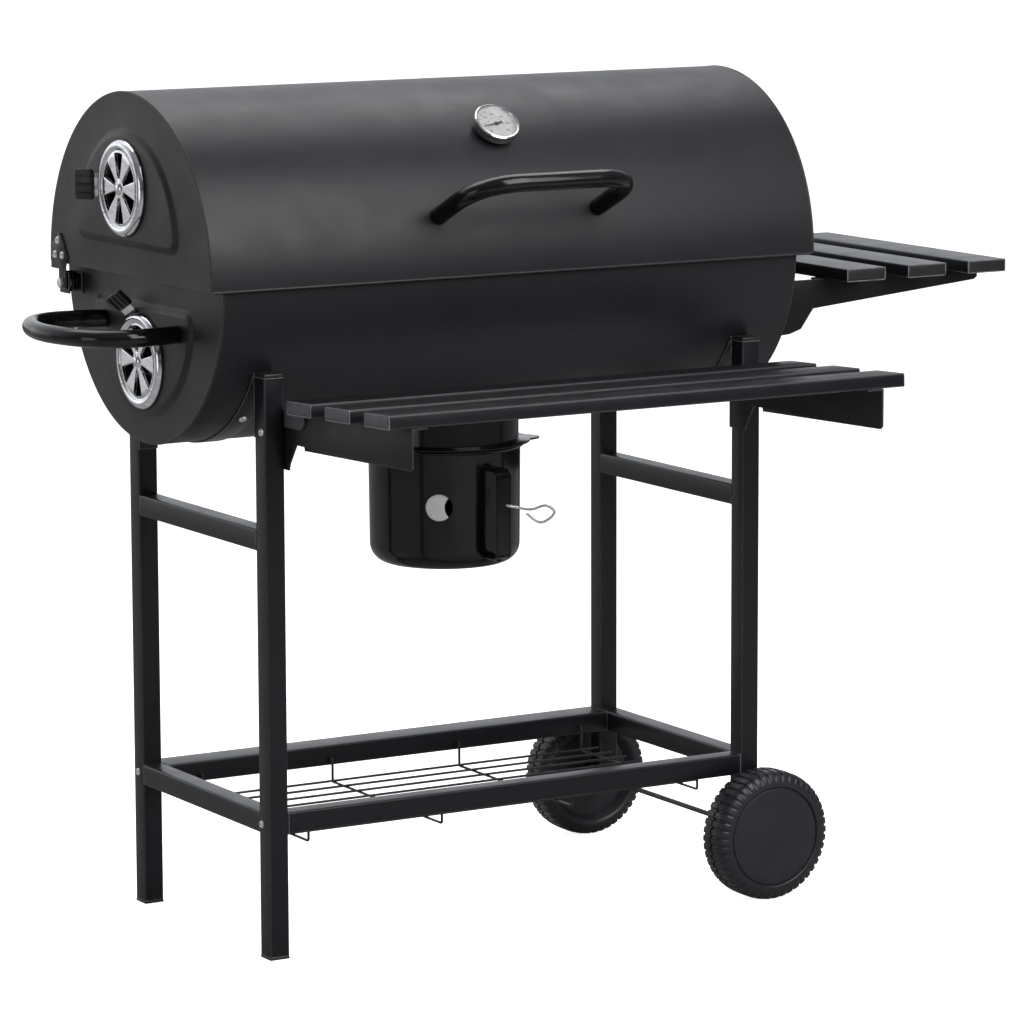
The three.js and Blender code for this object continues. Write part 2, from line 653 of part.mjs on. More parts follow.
function addAshPot() {
  const corner = 20; // radius of the rounded bottom edge
  const floor = potRadius - 2 - corner;
  const outside = arc(floor, potBottom + corner, corner, -Math.PI / 2, 0, 4);
  const inside = arc(floor, potBottom + corner, corner - sheet, 0, -Math.PI / 2, 4);
  const bead = 4;
  const pot = turned([
    [0, potBottom], ...outside, [potRadius, potTop - 8], [potRadius + bead, potTop - 5],
    [potRadius + bead, potTop], [potRadius - sheet, potTop], ...inside, [0, potBottom + sheet],
  ], 32);
  const airHole = cylinderX(15.5, 0, 467, -potRadius - 10, potRadius + 10, 16).rotateZ(56 * degree);
  const clipSide = 4; // off the middle of the strap
  const clipHole = cylinderX(2.3, clipSide, potClipZ, potHandleReach - 5, potHandleReach + 5, 8);
  const strapHandle = cut(potHandleStrap(), clipHole).rotateZ(potHandleTurn);
  add('ash_pot', join(cut(pot, airHole), strapHandle).translate(potX, drumY, 0), 'gloss');

  // A wire clip hooked through the hole, then bent aside and curled into a ring; [along, height].
  const wire = 1.4;
  const swing = 53 * degree;
  const through = [-7, -2, 2.5].map((out) => [out, clipSide, 0]);
  const curl = [[12, -2], [21, -4], [30, -4], [44, 0], [54, -7], [47, -16], [36, -19], [22, -9]];
  const bent = curl.map(([along, up]) => [along * Math.cos(swing), clipSide + along * Math.sin(swing), up]);
  const path = new THREE.CatmullRomCurve3(
    [...through, ...bent].map((point) => new THREE.Vector3(...point)));
  const clip = new THREE.ExtrudeGeometry(disc(0, 0, wire, 6), {
    extrudePath: path, steps: 32, bevelEnabled: false,
  }).translate(potHandleReach, 0, 0).rotateZ(potHandleTurn).translate(potX, drumY, potClipZ);
  add('pot_clip', clip, 'zinc');
}

// ---------------------------------------------------------------- grates
// Bars across the drum on two rails, as a charcoal or a cooking grate; z is its top.
function grid(x0, x1, halfDepth, z, bars, half) {
  const parts = [-0.8, 0.8].map((place) => {
    const y = drumY + place * halfDepth;
    return box(x0, x1, y - half, y + half, z - 3 * half, z - half);
  });
  for (let i = 0; i < bars; i += 1) {
    const x = x0 + half + (i * (x1 - x0 - 2 * half)) / (bars - 1);
    parts.push(box(x - half, x + half, drumY - halfDepth, drumY + halfDepth, z - 1.5 * half, z));
  }
  return join(...parts);
}

function addGrates() {
  const end = bodyHalf - 8;
  add('cooking_grate_left', grid(-end, -1, 178, 736, 12, 2), 'wire');
  add('cooking_grate_right', grid(1, end, 178, 736, 12, 2), 'wire');
  add('charcoal_grate', grid(-end, end, 146, 637, 16, 2.5), 'wire');
}

addLegs();
addRails();
addRack();
addWheels();
addBody();
addLid();
addHinges();
addVent('upper', lidHalf + emboss, upperVent);
addVent('lower', bodyHalf + emboss, lowerVent);
addThermometer();
addHandles();
addFrontShelf();
addSideShelf();
addCradles();
addAshCollar();
addAshPot();
addGrates();

// The grill's origin is on the floor, in the middle of its bounding box.
const extent = new THREE.Box3().setFromObject(stand);
const middle = extent.getCenter(new THREE.Vector3());
stand.position.set(-middle.x, -middle.y, 0);

export default grill;
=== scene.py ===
"""Barrel charcoal grill: the fine surfaces and finishes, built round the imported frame.

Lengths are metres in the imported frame. Details of the stand, drum and vents are given in
millimetres from the stand's own origin, on the floor in the middle of the four legs.
"""

import json
from contextlib import contextmanager
from math import asin, atan2, cos, hypot, pi, radians, sin, sqrt

import bmesh
import bpy
from mathutils import Matrix, Vector


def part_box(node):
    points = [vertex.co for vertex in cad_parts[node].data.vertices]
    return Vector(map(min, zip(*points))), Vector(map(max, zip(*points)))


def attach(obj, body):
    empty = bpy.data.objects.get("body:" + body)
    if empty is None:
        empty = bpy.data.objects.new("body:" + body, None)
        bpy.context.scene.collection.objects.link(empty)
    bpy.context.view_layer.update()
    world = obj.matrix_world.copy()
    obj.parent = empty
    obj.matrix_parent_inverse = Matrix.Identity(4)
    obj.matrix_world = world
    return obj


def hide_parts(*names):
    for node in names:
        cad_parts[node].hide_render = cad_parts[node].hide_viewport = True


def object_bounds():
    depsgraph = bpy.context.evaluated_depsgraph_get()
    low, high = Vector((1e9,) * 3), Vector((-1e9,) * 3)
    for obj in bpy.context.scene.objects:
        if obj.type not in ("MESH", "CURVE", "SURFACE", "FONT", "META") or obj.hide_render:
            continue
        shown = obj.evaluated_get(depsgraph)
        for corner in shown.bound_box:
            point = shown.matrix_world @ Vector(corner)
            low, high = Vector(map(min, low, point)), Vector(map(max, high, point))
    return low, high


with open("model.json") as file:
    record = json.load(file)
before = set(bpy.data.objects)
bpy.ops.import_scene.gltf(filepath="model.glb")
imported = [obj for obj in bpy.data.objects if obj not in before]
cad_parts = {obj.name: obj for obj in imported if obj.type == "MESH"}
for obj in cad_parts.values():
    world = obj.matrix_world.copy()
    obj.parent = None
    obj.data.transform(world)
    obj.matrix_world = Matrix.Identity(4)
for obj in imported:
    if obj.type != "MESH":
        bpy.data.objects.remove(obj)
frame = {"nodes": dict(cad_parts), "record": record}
cad_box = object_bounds()
scene = bpy.context.scene

# ---------------- what the frame says
MM = 0.001
BODY = {n: body for body, nodes in frame["record"]["behaviour"]["bodies"].items() for n in nodes}
SLOT = {part["node"]: part["material_slot"] for part in frame["record"]["subparts"]}
SIDES = (("left", -1), ("right", 1))
MOUNT = {mount["name"]: mount for mount in frame["record"]["mounts"]}


def middle(node):
    low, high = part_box(node)
    return (low + high) / 2


left_leg, right_leg, rear_leg = middle("leg_front_left"), middle("leg_front_right"), middle("leg_rear_left")
ORIGIN = Vector(((left_leg.x + right_leg.x) / 2, (left_leg.y + rear_leg.y) / 2, 0))

barrel_low, barrel_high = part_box("barrel_shell")
lid_low, lid_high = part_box("lid_shell")
DRUM_Y = (barrel_low.y + barrel_high.y) / 2
BODY_RADIUS = (barrel_high.y - barrel_low.y) / 2
DRUM_Z = barrel_low.z + BODY_RADIUS
LID_RADIUS = lid_high.z - DRUM_Z
DRUM_X = (lid_low.x + lid_high.x) / 2


def shift(*place):
    """A translation by three numbers, or by a vector."""
    return Matrix.Translation(place if len(place) == 3 else place[0])


def spin(angle, axis):
    return Matrix.Rotation(angle, 4, axis)


def at(x, y, z):
    """A point given in millimetres from the stand's origin."""
    return ORIGIN + Vector((x, y, z)) * MM


# ---------------- node helpers
class Nodes:
    """A node tree that is built node by node."""

    def __init__(self, owner):
        owner.use_nodes = True
        self.tree = owner.node_tree

    def node(self, kind, **settings):
        made = self.tree.nodes.new(kind)
        for key, value in settings.items():
            setattr(made, key, value)
        return made

    def link(self, source, target):
        self.tree.links.new(source, target)

    def spread(self, source, low, high, start=0.3, end=0.7):
        """The source mapped from start..end to low..high."""
        made = self.node("ShaderNodeMapRange")
        for socket, value in zip(("From Min", "From Max", "To Min", "To Max"), (start, end, low, high)):
            made.inputs[socket].default_value = value
        self.link(source, made.inputs["Value"])
        return made.outputs["Result"]

    def blend(self, share, first, second):
        """Sends the output a share of the second shader and the rest of the first."""
        made = self.node("ShaderNodeMixShader")
        for source, target in zip((share, first, second), made.inputs):
            self.link(source, target)
        output = next(n for n in self.tree.nodes if n.type.startswith("OUTPUT"))
        self.link(made.outputs["Shader"], output.inputs["Surface"])

    def seen_by_camera(self):
        return self.node("ShaderNodeLightPath").outputs["Is Camera Ray"]


class Paint(Nodes):
    """A material with a principled shader."""

    def __init__(self, name):
        self.material = bpy.data.materials.new(name)
        super().__init__(self.material)
        self.shader = self.tree.nodes["Principled BSDF"]
        self.place = self.node("ShaderNodeTexCoord").outputs["Object"]

    def noise(self, scale, detail=3.0, stretch=(1, 1, 1)):
        mapping = self.node("ShaderNodeMapping")
        mapping.inputs["Scale"].default_value = stretch
        self.link(self.place, mapping.inputs["Vector"])
        made = self.node("ShaderNodeTexNoise")
        made.inputs["Scale"].default_value = scale
        made.inputs["Detail"].default_value = detail
        self.link(mapping.outputs["Vector"], made.inputs["Vector"])
        return made.outputs["Fac"]

    def vary(self, scale, detail, low, high):
        """A noise between low and high."""
        return self.spread(self.noise(scale, detail), low, high)

    def mottle(self, scale, detail, dark, light):
        """A colour that wanders between two."""
        return self.mix(self.vary(scale, detail, 0, 1), dark, light)

    def mix(self, share, first, second):
        """A colour between two colours, each a triple or a socket."""
        made = self.node("ShaderNodeMix", data_type="RGBA")
        self.link(share, made.inputs["Factor"])
        for socket, colour in (("A", first), ("B", second)):
            target = next(s for s in made.inputs if s.name == socket and s.type == "RGBA")
            if isinstance(colour, tuple):
                target.default_value = (*colour, 1)
            else:
                self.link(colour, target)
        return next(s for s in made.outputs if s.type == "RGBA")

    def worn_and_highlit_edges(self, colour, edge, reach=0.0018):
        """The colour, lightened within reach of the mesh's edges: partly edge wear, partly a painted edge
        highlight.
        """
        bevel = self.node("ShaderNodeBevel", samples=4)
        bevel.inputs["Radius"].default_value = reach
        match = self.node("ShaderNodeVectorMath", operation="DOT_PRODUCT")
        self.link(bevel.outputs["Normal"], match.inputs[0])
        self.link(self.node("ShaderNodeNewGeometry").outputs["Normal"], match.inputs[1])
        patchy = self.vary(90, 4, 0.55, 1.0)
        share = self.node("ShaderNodeMath", operation="MULTIPLY")
        self.link(self.spread(match.outputs["Value"], 1, 0, 0.86, 0.995), share.inputs[0])
        self.link(patchy, share.inputs[1])
        return self.mix(share.outputs["Value"], colour, edge)

    def bump(self, height, strength, distance):
        made = self.node("ShaderNodeBump")
        made.inputs["Strength"].default_value = strength
        made.inputs["Distance"].default_value = distance
        self.link(height, made.inputs["Height"])
        self.link(made.outputs["Normal"], self.shader.inputs["Normal"])

    def set(self, **values):
        for key, value in values.items():
            socket = self.shader.inputs[key.replace("_", " ")]
            if isinstance(value, bpy.types.NodeSocket):
                self.link(value, socket)
            elif isinstance(value, tuple):
                socket.default_value = (*value, 1)
            else:
                socket.default_value = value
        return self.material


# ---------------- materials
def powder_coat(name, dark, light, edge, roughness):
    """Satin powder coat: fine orange peel, faint mottling and lighter edges, partly wear and partly a painted
    edge highlight.
    """
    paint = Paint(name)
    mottled = paint.mottle(7, 5, dark, light)
    colour = paint.worn_and_highlit_edges(mottled, edge)
    paint.bump(paint.noise(1600, 2), 0.12, 0.0002)
    gloss = paint.vary(22, 6, roughness - 0.04, roughness + 0.05)
    return paint.set(Base_Color=colour, Roughness=gloss, Specular_IOR_Level=0.38)


def gloss_enamel():
    paint = Paint("gloss_enamel")
    colour = paint.mottle(9, 4, (0.004, 0.004, 0.005), (0.009, 0.009, 0.010))
    paint.bump(paint.noise(140, 2), 0.05, 0.0003)
    gloss = paint.vary(30, 5, 0.10, 0.20)
    return paint.set(Base_Color=colour, Roughness=gloss, Specular_IOR_Level=0.40)


def chrome_trim():
    paint = Paint("chrome_trim")
    smears = paint.noise(60, 5, (1, 1, 4))
    colour = paint.mix(paint.spread(smears, 0, 1), (0.62, 0.62, 0.64), (0.86, 0.86, 0.88))
    paint.bump(paint.noise(90, 3), 0.10, 0.0003)
    return paint.set(Base_Color=colour, Metallic=1.0, Roughness=paint.spread(smears, 0.08, 0.20))


def zinc_steel(name, dark, light, metallic, grain=420):
    """Zinc or tin plate with a faint spangle."""
    paint = Paint(name)
    spangle = paint.noise(grain, 3)
    colour = paint.mix(paint.spread(spangle, 0, 1), (dark,) * 3, (light,) * 3)
    paint.bump(spangle, 0.06, 0.0001)
    return paint.set(Base_Color=colour, Metallic=metallic, Roughness=paint.spread(spangle, 0.22, 0.38))


def coated_wire():
    paint = Paint("coated_wire")
    colour = paint.mottle(60, 4, (0.012, 0.012, 0.014), (0.030, 0.031, 0.034))
    paint.bump(paint.noise(900, 2), 0.15, 0.0002)
    return paint.set(Base_Color=colour, Roughness=paint.vary(80, 3, 0.30, 0.46))


def moulded_plastic(name, dark, light, roughness):
    """Moulded plastic with a fine spark-eroded grain and paler edges, partly wear and partly a painted edge
    highlight.
    """
    paint = Paint(name)
    base = paint.mottle(35, 5, dark, light)
    # the edge colour: paler for wear and for a painted edge highlight
    edge = tuple(2.2 * channel for channel in light)
    colour = paint.worn_and_highlit_edges(base, edge, 0.0008)
    paint.bump(paint.noise(2200, 2), 0.25, 0.0002)
    gloss = paint.vary(50, 4, roughness - 0.06, roughness + 0.08)
    return paint.set(Base_Color=colour, Roughness=gloss)


def dial_face():
    paint = Paint("dial_face")
    colour = paint.mottle(180, 4, (0.50, 0.50, 0.49), (0.56, 0.56, 0.55))
    return paint.set(Base_Color=colour, Roughness=paint.vary(90, 3, 0.32, 0.45))


def printed(name, shade):
    paint = Paint(name)
    ink = paint.vary(400, 3, 0, 1)
    return paint.set(Base_Color=paint.mix(ink, (shade,) * 3, (shade * 1.3,) * 3), Roughness=0.5)


def lens_glass():
    """Clear flat glass: see-through, with only its mirror-like share of the light."""
    paint = Paint("lens_glass")
    clear = paint.node("ShaderNodeBsdfTransparent")
    shine = paint.node("ShaderNodeBsdfGlossy")
    facing_away = paint.node("ShaderNodeLayerWeight").outputs["Facing"]
    smears = paint.vary(70, 5, 0.02, 0.07)
    paint.link(smears, shine.inputs["Roughness"])
    mirror_share = paint.spread(facing_away, 0.02, 0.12, 0, 1)
    paint.blend(mirror_share, clear.outputs["BSDF"], shine.outputs["BSDF"])
    return paint.material


# The third colour of each powder coat is its edge colour, partly wear and partly a painted edge highlight.
FINISH = {
    "satin_paint": powder_coat("satin_paint", (0.0060, 0.0065, 0.0085), (0.0080, 0.0087, 0.0112),
                               (0.42, 0.43, 0.46), 0.33),
    "drum_paint": powder_coat("drum_paint", (0.0115, 0.0115, 0.0145), (0.0135, 0.0135, 0.0170),
                              (0.060, 0.060, 0.066), 0.42),
    "end_paint": powder_coat("end_paint", (0.0150, 0.0115, 0.0120), (0.0175, 0.0135, 0.0140),
                             (0.075, 0.066, 0.067), 0.42),
    "bracket_paint": powder_coat("bracket_paint", (0.0085, 0.0052, 0.0062), (0.011, 0.0070, 0.0082),
                                 (0.14, 0.13, 0.13), 0.44),
    "side_paint": powder_coat("side_paint", (0.0030, 0.0032, 0.0040), (0.0040, 0.0043, 0.0052),
                              (0.10, 0.10, 0.11), 0.42),
    "gloss_enamel": gloss_enamel(),
    "chrome_trim": chrome_trim(),
    "zinc_steel": zinc_steel("zinc_steel", 0.72, 0.93, 0.40),
    "bright_tin": zinc_steel("bright_tin", 0.80, 0.86, 0.25, grain=40),
    "coated_wire": coated_wire(),
    "black_plastic": moulded_plastic("black_plastic", (0.010, 0.010, 0.011), (0.018, 0.018, 0.019), 0.42),
    "grey_plastic": moulded_plastic("grey_plastic", (0.060, 0.062, 0.068), (0.080, 0.083, 0.090), 0.46),
    "wheel_plastic": moulded_plastic("wheel_plastic", (0.014, 0.015, 0.018), (0.020, 0.021, 0.025), 0.40),
    "dial_face": dial_face(),
    "dial_ink": printed("dial_ink", 0.09),
    "dial_grey": printed("dial_grey", 0.30),
    "needle_paint": printed("needle_paint", 0.03),
    "lens_glass": lens_glass(),
}


# ---------------- mesh helpers
class Form:
    """Vertices and faces collected for one piece."""

    def __init__(self):
        self.points = []
        self.faces = []

    def add(self, points, faces, matrix=Matrix.Identity(4)):
        base = len(self.points)
        self.points += [matrix @ Vector(p) for p in points]
        self.faces += [[base + i for i in face] for face in faces]
        return self


def placed(name, data):
    """A new object in the scene."""
    made = bpy.data.objects.new(name, data)
    scene.collection.objects.link(made)
    return made


def mesh_of(name, points, faces):
    mesh = bpy.data.meshes.new(name)
    mesh.from_pydata(points, [], faces)
    return mesh


@contextmanager
def editing(mesh):
    """The mesh opened in bmesh, and written back at the end."""
    work = bmesh.new()
    work.from_mesh(mesh)
    yield work
    work.to_mesh(mesh)
    work.free()


def shade(mesh, angle):
    """Smooth shading, kept crisp at edges sharper than the angle."""
    with editing(mesh) as work:
        bmesh.ops.remove_doubles(work, verts=work.verts, dist=1e-7)
        bmesh.ops.recalc_face_normals(work, faces=work.faces)
    mesh.shade_smooth()
    mesh.set_sharp_from_angle(angle=radians(angle))


def dress(piece, node, finish=None, stands_for=()):
    """Puts a piece on a CAD node's body, in its slot's finish unless another is named."""
    finish = finish or SLOT[node]
    piece.data.materials.clear()
    piece.data.materials.append(FINISH[finish])
    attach(piece, BODY[node])
    if stands_for:
        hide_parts(*stands_for)
    return piece


def make(name, form, node, finish=None, angle=35, stands_for=()):
    """A new piece from a form, on a CAD node's body."""
    mesh = mesh_of(name, form.points, form.faces)
    piece = placed(name, mesh)
    shade(mesh, angle)
    return dress(piece, node, finish, stands_for)


def refine(node, form, finish=None, angle=35):
    """A finer piece that stands for a CAD node."""
    return make("fine_" + node, form, node, finish, angle, (node,))


def applied(piece):
    """Replaces the piece's mesh by its mesh with the modifiers applied."""
    graph = bpy.context.evaluated_depsgraph_get()
    mesh = bpy.data.meshes.new_from_object(piece.evaluated_get(graph))
    piece.modifiers.clear()
    piece.data = mesh
    return piece


def carve(piece, form, angle=35):
    """Cuts a form out of the piece."""
    mesh = mesh_of("cutter", form.points, form.faces)
    shade(mesh, angle)
    cutter = placed("cutter", mesh)
    boolean = piece.modifiers.new("cut", "BOOLEAN")
    boolean.object = cutter
    boolean.operation = "DIFFERENCE"
    boolean.solver = "EXACT"
    applied(piece)
    bpy.data.objects.remove(cutter)
    shade(piece.data, angle)
    return piece


def add_bevel(piece, width, segments, angle):
    bevel = piece.modifiers.new("edges", "BEVEL")
    bevel.width = width
    bevel.segments = segments
    bevel.limit_method = "ANGLE"
    bevel.angle_limit = radians(angle)
    return bevel


def soften(node, width=1.0, finish=None, angle=35):
    """A copy of a CAD node with its sharp edges rounded over."""
    mesh = frame["nodes"][node].data.copy()
    with editing(mesh) as work:
        bmesh.ops.remove_doubles(work, verts=work.verts, dist=1e-6)
        bmesh.ops.dissolve_limit(work, angle_limit=radians(1), verts=work.verts, edges=work.edges)
    piece = placed("fine_" + node, mesh)
    bevel = add_bevel(piece, width * MM, 3, angle)
    bevel.use_clamp_overlap = True
    applied(piece)
    piece.data.shade_smooth()
    piece.data.set_sharp_from_angle(angle=radians(angle))
    return dress(piece, node, finish, (node,))


def ring_faces(count, rings, closed):
    """Quads between rings of count points; closed joins the last ring to the first."""
    pairs = [(r, r + 1) for r in range(rings - 1)]
    if closed:
        pairs.append((rings - 1, 0))
    return [(a * count + i, a * count + (i + 1) % count, b * count + (i + 1) % count, b * count + i)
            for a, b in pairs for i in range(count)]


def capped_faces(count, rings):
    """Quads between rings of count points, with a flat face over each end."""
    faces = ring_faces(count, rings, False)
    faces.append(tuple(range(count)))
    faces.append(tuple(range((rings - 1) * count, rings * count)))
    return faces


def arc_points(a, b, radius, start, end, steps):
    angles = [start + (end - start) * i / steps for i in range(steps + 1)]
    return [(a + radius * cos(t), b + radius * sin(t)) for t in angles]


def circle(radius, sides):
    return arc_points(0, 0, radius, 0, 2 * pi, sides)[:-1]


def rounded_rectangle(width, height, radius, steps=4):
    """Points round a rectangle about the origin with rounded corners."""
    points = []
    for i, (sx, sy) in enumerate(((1, 1), (-1, 1), (-1, -1), (1, -1))):
        corner = (sx * (width / 2 - radius), sy * (height / 2 - radius))
        points += arc_points(*corner, radius, i * pi / 2, (i + 1) * pi / 2, steps)
    return points


def turned(profile, segments, matrix=Matrix.Identity(4), ripple=None):
    """A lathe about Z from (radius, height) pairs; ripple(radius, height, angle) shifts the radius.

    A profile that starts and ends on the axis is closed by flat discs, any other by joining its ends.
    """
    flat_ends = profile[0][0] == 0
    if flat_ends:
        profile = profile[1:-1]
    points = []
    for radius, height in profile:
        for i in range(segments):
            angle = 2 * pi * i / segments
            r = radius + (ripple(radius, height, angle) if ripple else 0)
            points.append((r * cos(angle), r * sin(angle), height))
    rings = len(profile)
    faces = capped_faces(segments, rings) if flat_ends else ring_faces(segments, rings, True)
    return Form().add(points, faces, matrix)


def lathed(profile, segments, matrix, form=None, ripple=None):
    """A lathe whose profile is in millimetres, added to the form if one is given."""
    made = turned(profile, segments, ripple=ripple)
    return (form or Form()).add([p * MM for p in made.points], made.faces, matrix)


def in_mm(outline):
    """An outline given in millimetres."""
    return [(x * MM, y * MM) for x, y in outline]


def sweep(path, section, form=None, up=Vector((0, 0, 1))):
    """A section, (side, up) pairs, carried along a path, with flat ends."""
    path = [Vector(p) for p in path]
    points = []
    side = None
    for i, here in enumerate(path):
        ahead = path[min(i + 1, len(path) - 1)] - path[max(i - 1, 0)]
        tangent = ahead.normalized()
        if side is None:
            reference = up if abs(tangent.dot(up)) < 0.99 else Vector((1, 0, 0))
            side = tangent.cross(reference).normalized()
        side = (side - tangent * side.dot(tangent)).normalized()
        over = side.cross(tangent)
        points += [here + side * a + over * b for a, b in section]
    return (form or Form()).add(points, capped_faces(len(section), len(path)))


def extruded(outline, depth, matrix=Matrix.Identity(4), form=None):
    """A plate with an (x, y) outline, from z 0 to the depth."""
    points = [(x, y, z) for z in (0, depth) for x, y in outline]
    return (form or Form()).add(points, capped_faces(len(outline), 2), matrix)


def rounded_path(corners, bend, steps=10):
    """A line through the corners with each inner corner rounded over the bend's length."""
    corners = [Vector(c) for c in corners]
    path = [corners[0]]
    for before, corner, after in zip(corners, corners[1:], corners[2:]):
        start = corner.lerp(before, bend / (before - corner).length)
        end = corner.lerp(after, bend / (after - corner).length)
        for i in range(steps + 1):
            t = i / steps
            path.append(start * (1 - t) ** 2 + corner * 2 * t * (1 - t) + end * t ** 2)
    return path + [corners[-1]]


def spline(points, steps=8):
    """A smooth line through the points (Catmull-Rom)."""
    points = [Vector(p) for p in points]
    ends = [2 * points[0] - points[1], *points, 2 * points[-1] - points[-2]]
    path = []
    for a, b, c, d in zip(ends, ends[1:], ends[2:], ends[3:]):
        for i in range(steps):
            t = i / steps
            path.append(0.5 * (2 * b + (c - a) * t + (2 * a - 5 * b + 4 * c - d) * t ** 2
                               + (3 * b - a - 3 * c + d) * t ** 3))
    return path + [points[-1]]


def facing(origin, normal):
    """A matrix whose Z axis points along the normal."""
    turn = Vector(normal).to_track_quat("Z", "Y").to_matrix().to_4x4()
    return shift(origin) @ turn


# ---------------- square tubes and slats
def tube_along(node, axis, corner, wall, tilt=0.0):
    """A rounded hollow box section that fills the node's box; tilt turns it about X."""
    low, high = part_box(node)
    size = high - low
    if tilt:
        depth = (size.y * cos(tilt) - size.z * sin(abs(tilt))) / cos(2 * tilt)
        height = (size.z * cos(tilt) - size.y * sin(abs(tilt))) / cos(2 * tilt)
        size = Vector((size.x, depth, height))
    a, b = [i for i in range(3) if i != axis]
    wall, corner = wall * MM, corner * MM
    outer = rounded_rectangle(size[a], size[b], corner)
    inner = rounded_rectangle(size[a] - 2 * wall, size[b] - 2 * wall, max(corner - wall, wall / 4))
    points = []
    for outline, end in ((outer, -1), (outer, 1), (inner, 1), (inner, -1)):
        for u, v in outline:
            point = Vector((0, 0, 0))
            point[a], point[b], point[axis] = u, v, end * size[axis] / 2
            points.append(point)
    matrix = shift((low + high) / 2) @ spin(tilt, "X")
    return Form().add(points, ring_faces(len(outer), 4, True), matrix), matrix, size


def build_stand():
    """Legs and rails with rounded corners, and the soft-edged small parts."""
    tubes = {f"leg_{end}_{side}": 2 for end in ("front", "rear") for side in ("left", "right")}
    tubes |= {"rail_lower_front": 0, "rail_lower_rear": 0}
    tubes |= {f"rail_{level}_{side}": 1 for level in ("lower", "upper") for side in ("left", "right")}
    for node, axis in tubes.items():
        form, _, _ = tube_along(node, axis, corner=2.2, wall=1.2)
        refine(node, form)
    for node in ("foot_front_left", "foot_rear_left", "leg_cap_left", "leg_cap_right"):
        soften(node, 1.6)
    for node in ("cradle_left", "cradle_right"):
        soften(node, 0.4)


def build_slats():
    """Slats of both shelves, each with a plastic plug in each end."""
    normal = Vector(MOUNT["front_shelf_top"]["axis"])
    tilt = -atan2(normal.y, normal.z)
    for shelf, axis, turn, colour in (("front", 0, tilt, "grey_plastic"), ("side", 1, 0.0, "black_plastic")):
        for i in range(3):
            node = f"{shelf}_slat_{i + 1}"
            form, matrix, size = tube_along(node, axis, corner=1.8, wall=1.2, tilt=turn)
            refine(node, form)
            for end, sign in (("a", -1), ("b", 1)):
                make(f"slat_plug_{shelf}_{i + 1}_{end}", plug(axis, sign, size, matrix), node, colour)


def plug(axis, sign, size, matrix):
    """A plastic plug flush in one end of a slat, with a softly rounded face."""
    other = 1 - axis
    clear, depth, crown = 1.3 * MM, 9 * MM, 0.5 * MM
    width, height = size[other] - 2 * clear, size.z - 2 * clear
    rings = [(0, -depth), (0, -crown), (0.4 * MM, -0.15 * MM), (1.2 * MM, 0.1 * MM), (3.5 * MM, 0.35 * MM)]
    points = []
    for inset, out in rings:
        corner = max(1.2 * MM - inset, 0.4 * MM)
        for u, v in rounded_rectangle(width - 2 * inset, height - 2 * inset, corner):
            point = Vector((0, 0, v))
            point[other] = u
            point[axis] = sign * (size[axis] / 2 + out)
            points.append(point)
    return Form().add(points, capped_faces(len(points) // len(rings), len(rings)), matrix)


# ---------------- drum and lid
SHEET = 1.2 * MM
EMBOSS = 4 * MM
BEAD = 1.5 * MM
VENT_HOLE = 38 * MM


def drum_arc(radius, rim, direction):
    """The start and end angles of the lid's arc (direction 1) or the trough's (-1), closed by its rim."""
    start = asin((rim - DRUM_Z) / radius)
    end = pi - start
    return (start, end) if direction > 0 else (pi - start, 2 * pi + start)


class DPanel:
    """Signed distance to a D outline: a half disc, bulging up or down, with rounded corners."""

    def __init__(self, base, radius, direction, corner=14 * MM):
        self.base, self.direction, self.corner = base, direction, corner
        self.radius = radius - corner
        self.reach = sqrt(self.radius ** 2 - corner ** 2)

    def distance(self, y, z):
        y, z = abs(y - DRUM_Y), (z - self.base) * self.direction
        below = self.corner - z
        round_part = hypot(y, z) - self.radius
        if y > self.reach and below * self.reach > -self.corner * (y - self.reach):
            return hypot(y - self.reach, below) - self.corner
        return max(below, round_part) - self.corner

    def along_ray(self, centre, angle, level):
        """How far from the centre the outline, offset outward by level, lies at an angle."""
        near, far, halvings = 0.0, 0.4, 40
        for _ in range(halvings):
            half = (near + far) / 2
            inside = self.distance(centre[0] + half * cos(angle), centre[1] + half * sin(angle)) < level
            near, far = (half, far) if inside else (near, half)
        return near


def plate_edge(radius, rim, direction, centre, angle):
    """How far from the centre the end plate's edge, an arc closed by its rim, lies at an angle."""
    u, v = cos(angle), sin(angle)
    y, z = centre[0] - DRUM_Y, centre[1] - DRUM_Z
    b = y * u + z * v
    reach = -b + sqrt(b * b - (y * y + z * z - radius * radius))
    if v * direction < 0:
        reach = min(reach, (rim - centre[1]) / v)
    return reach


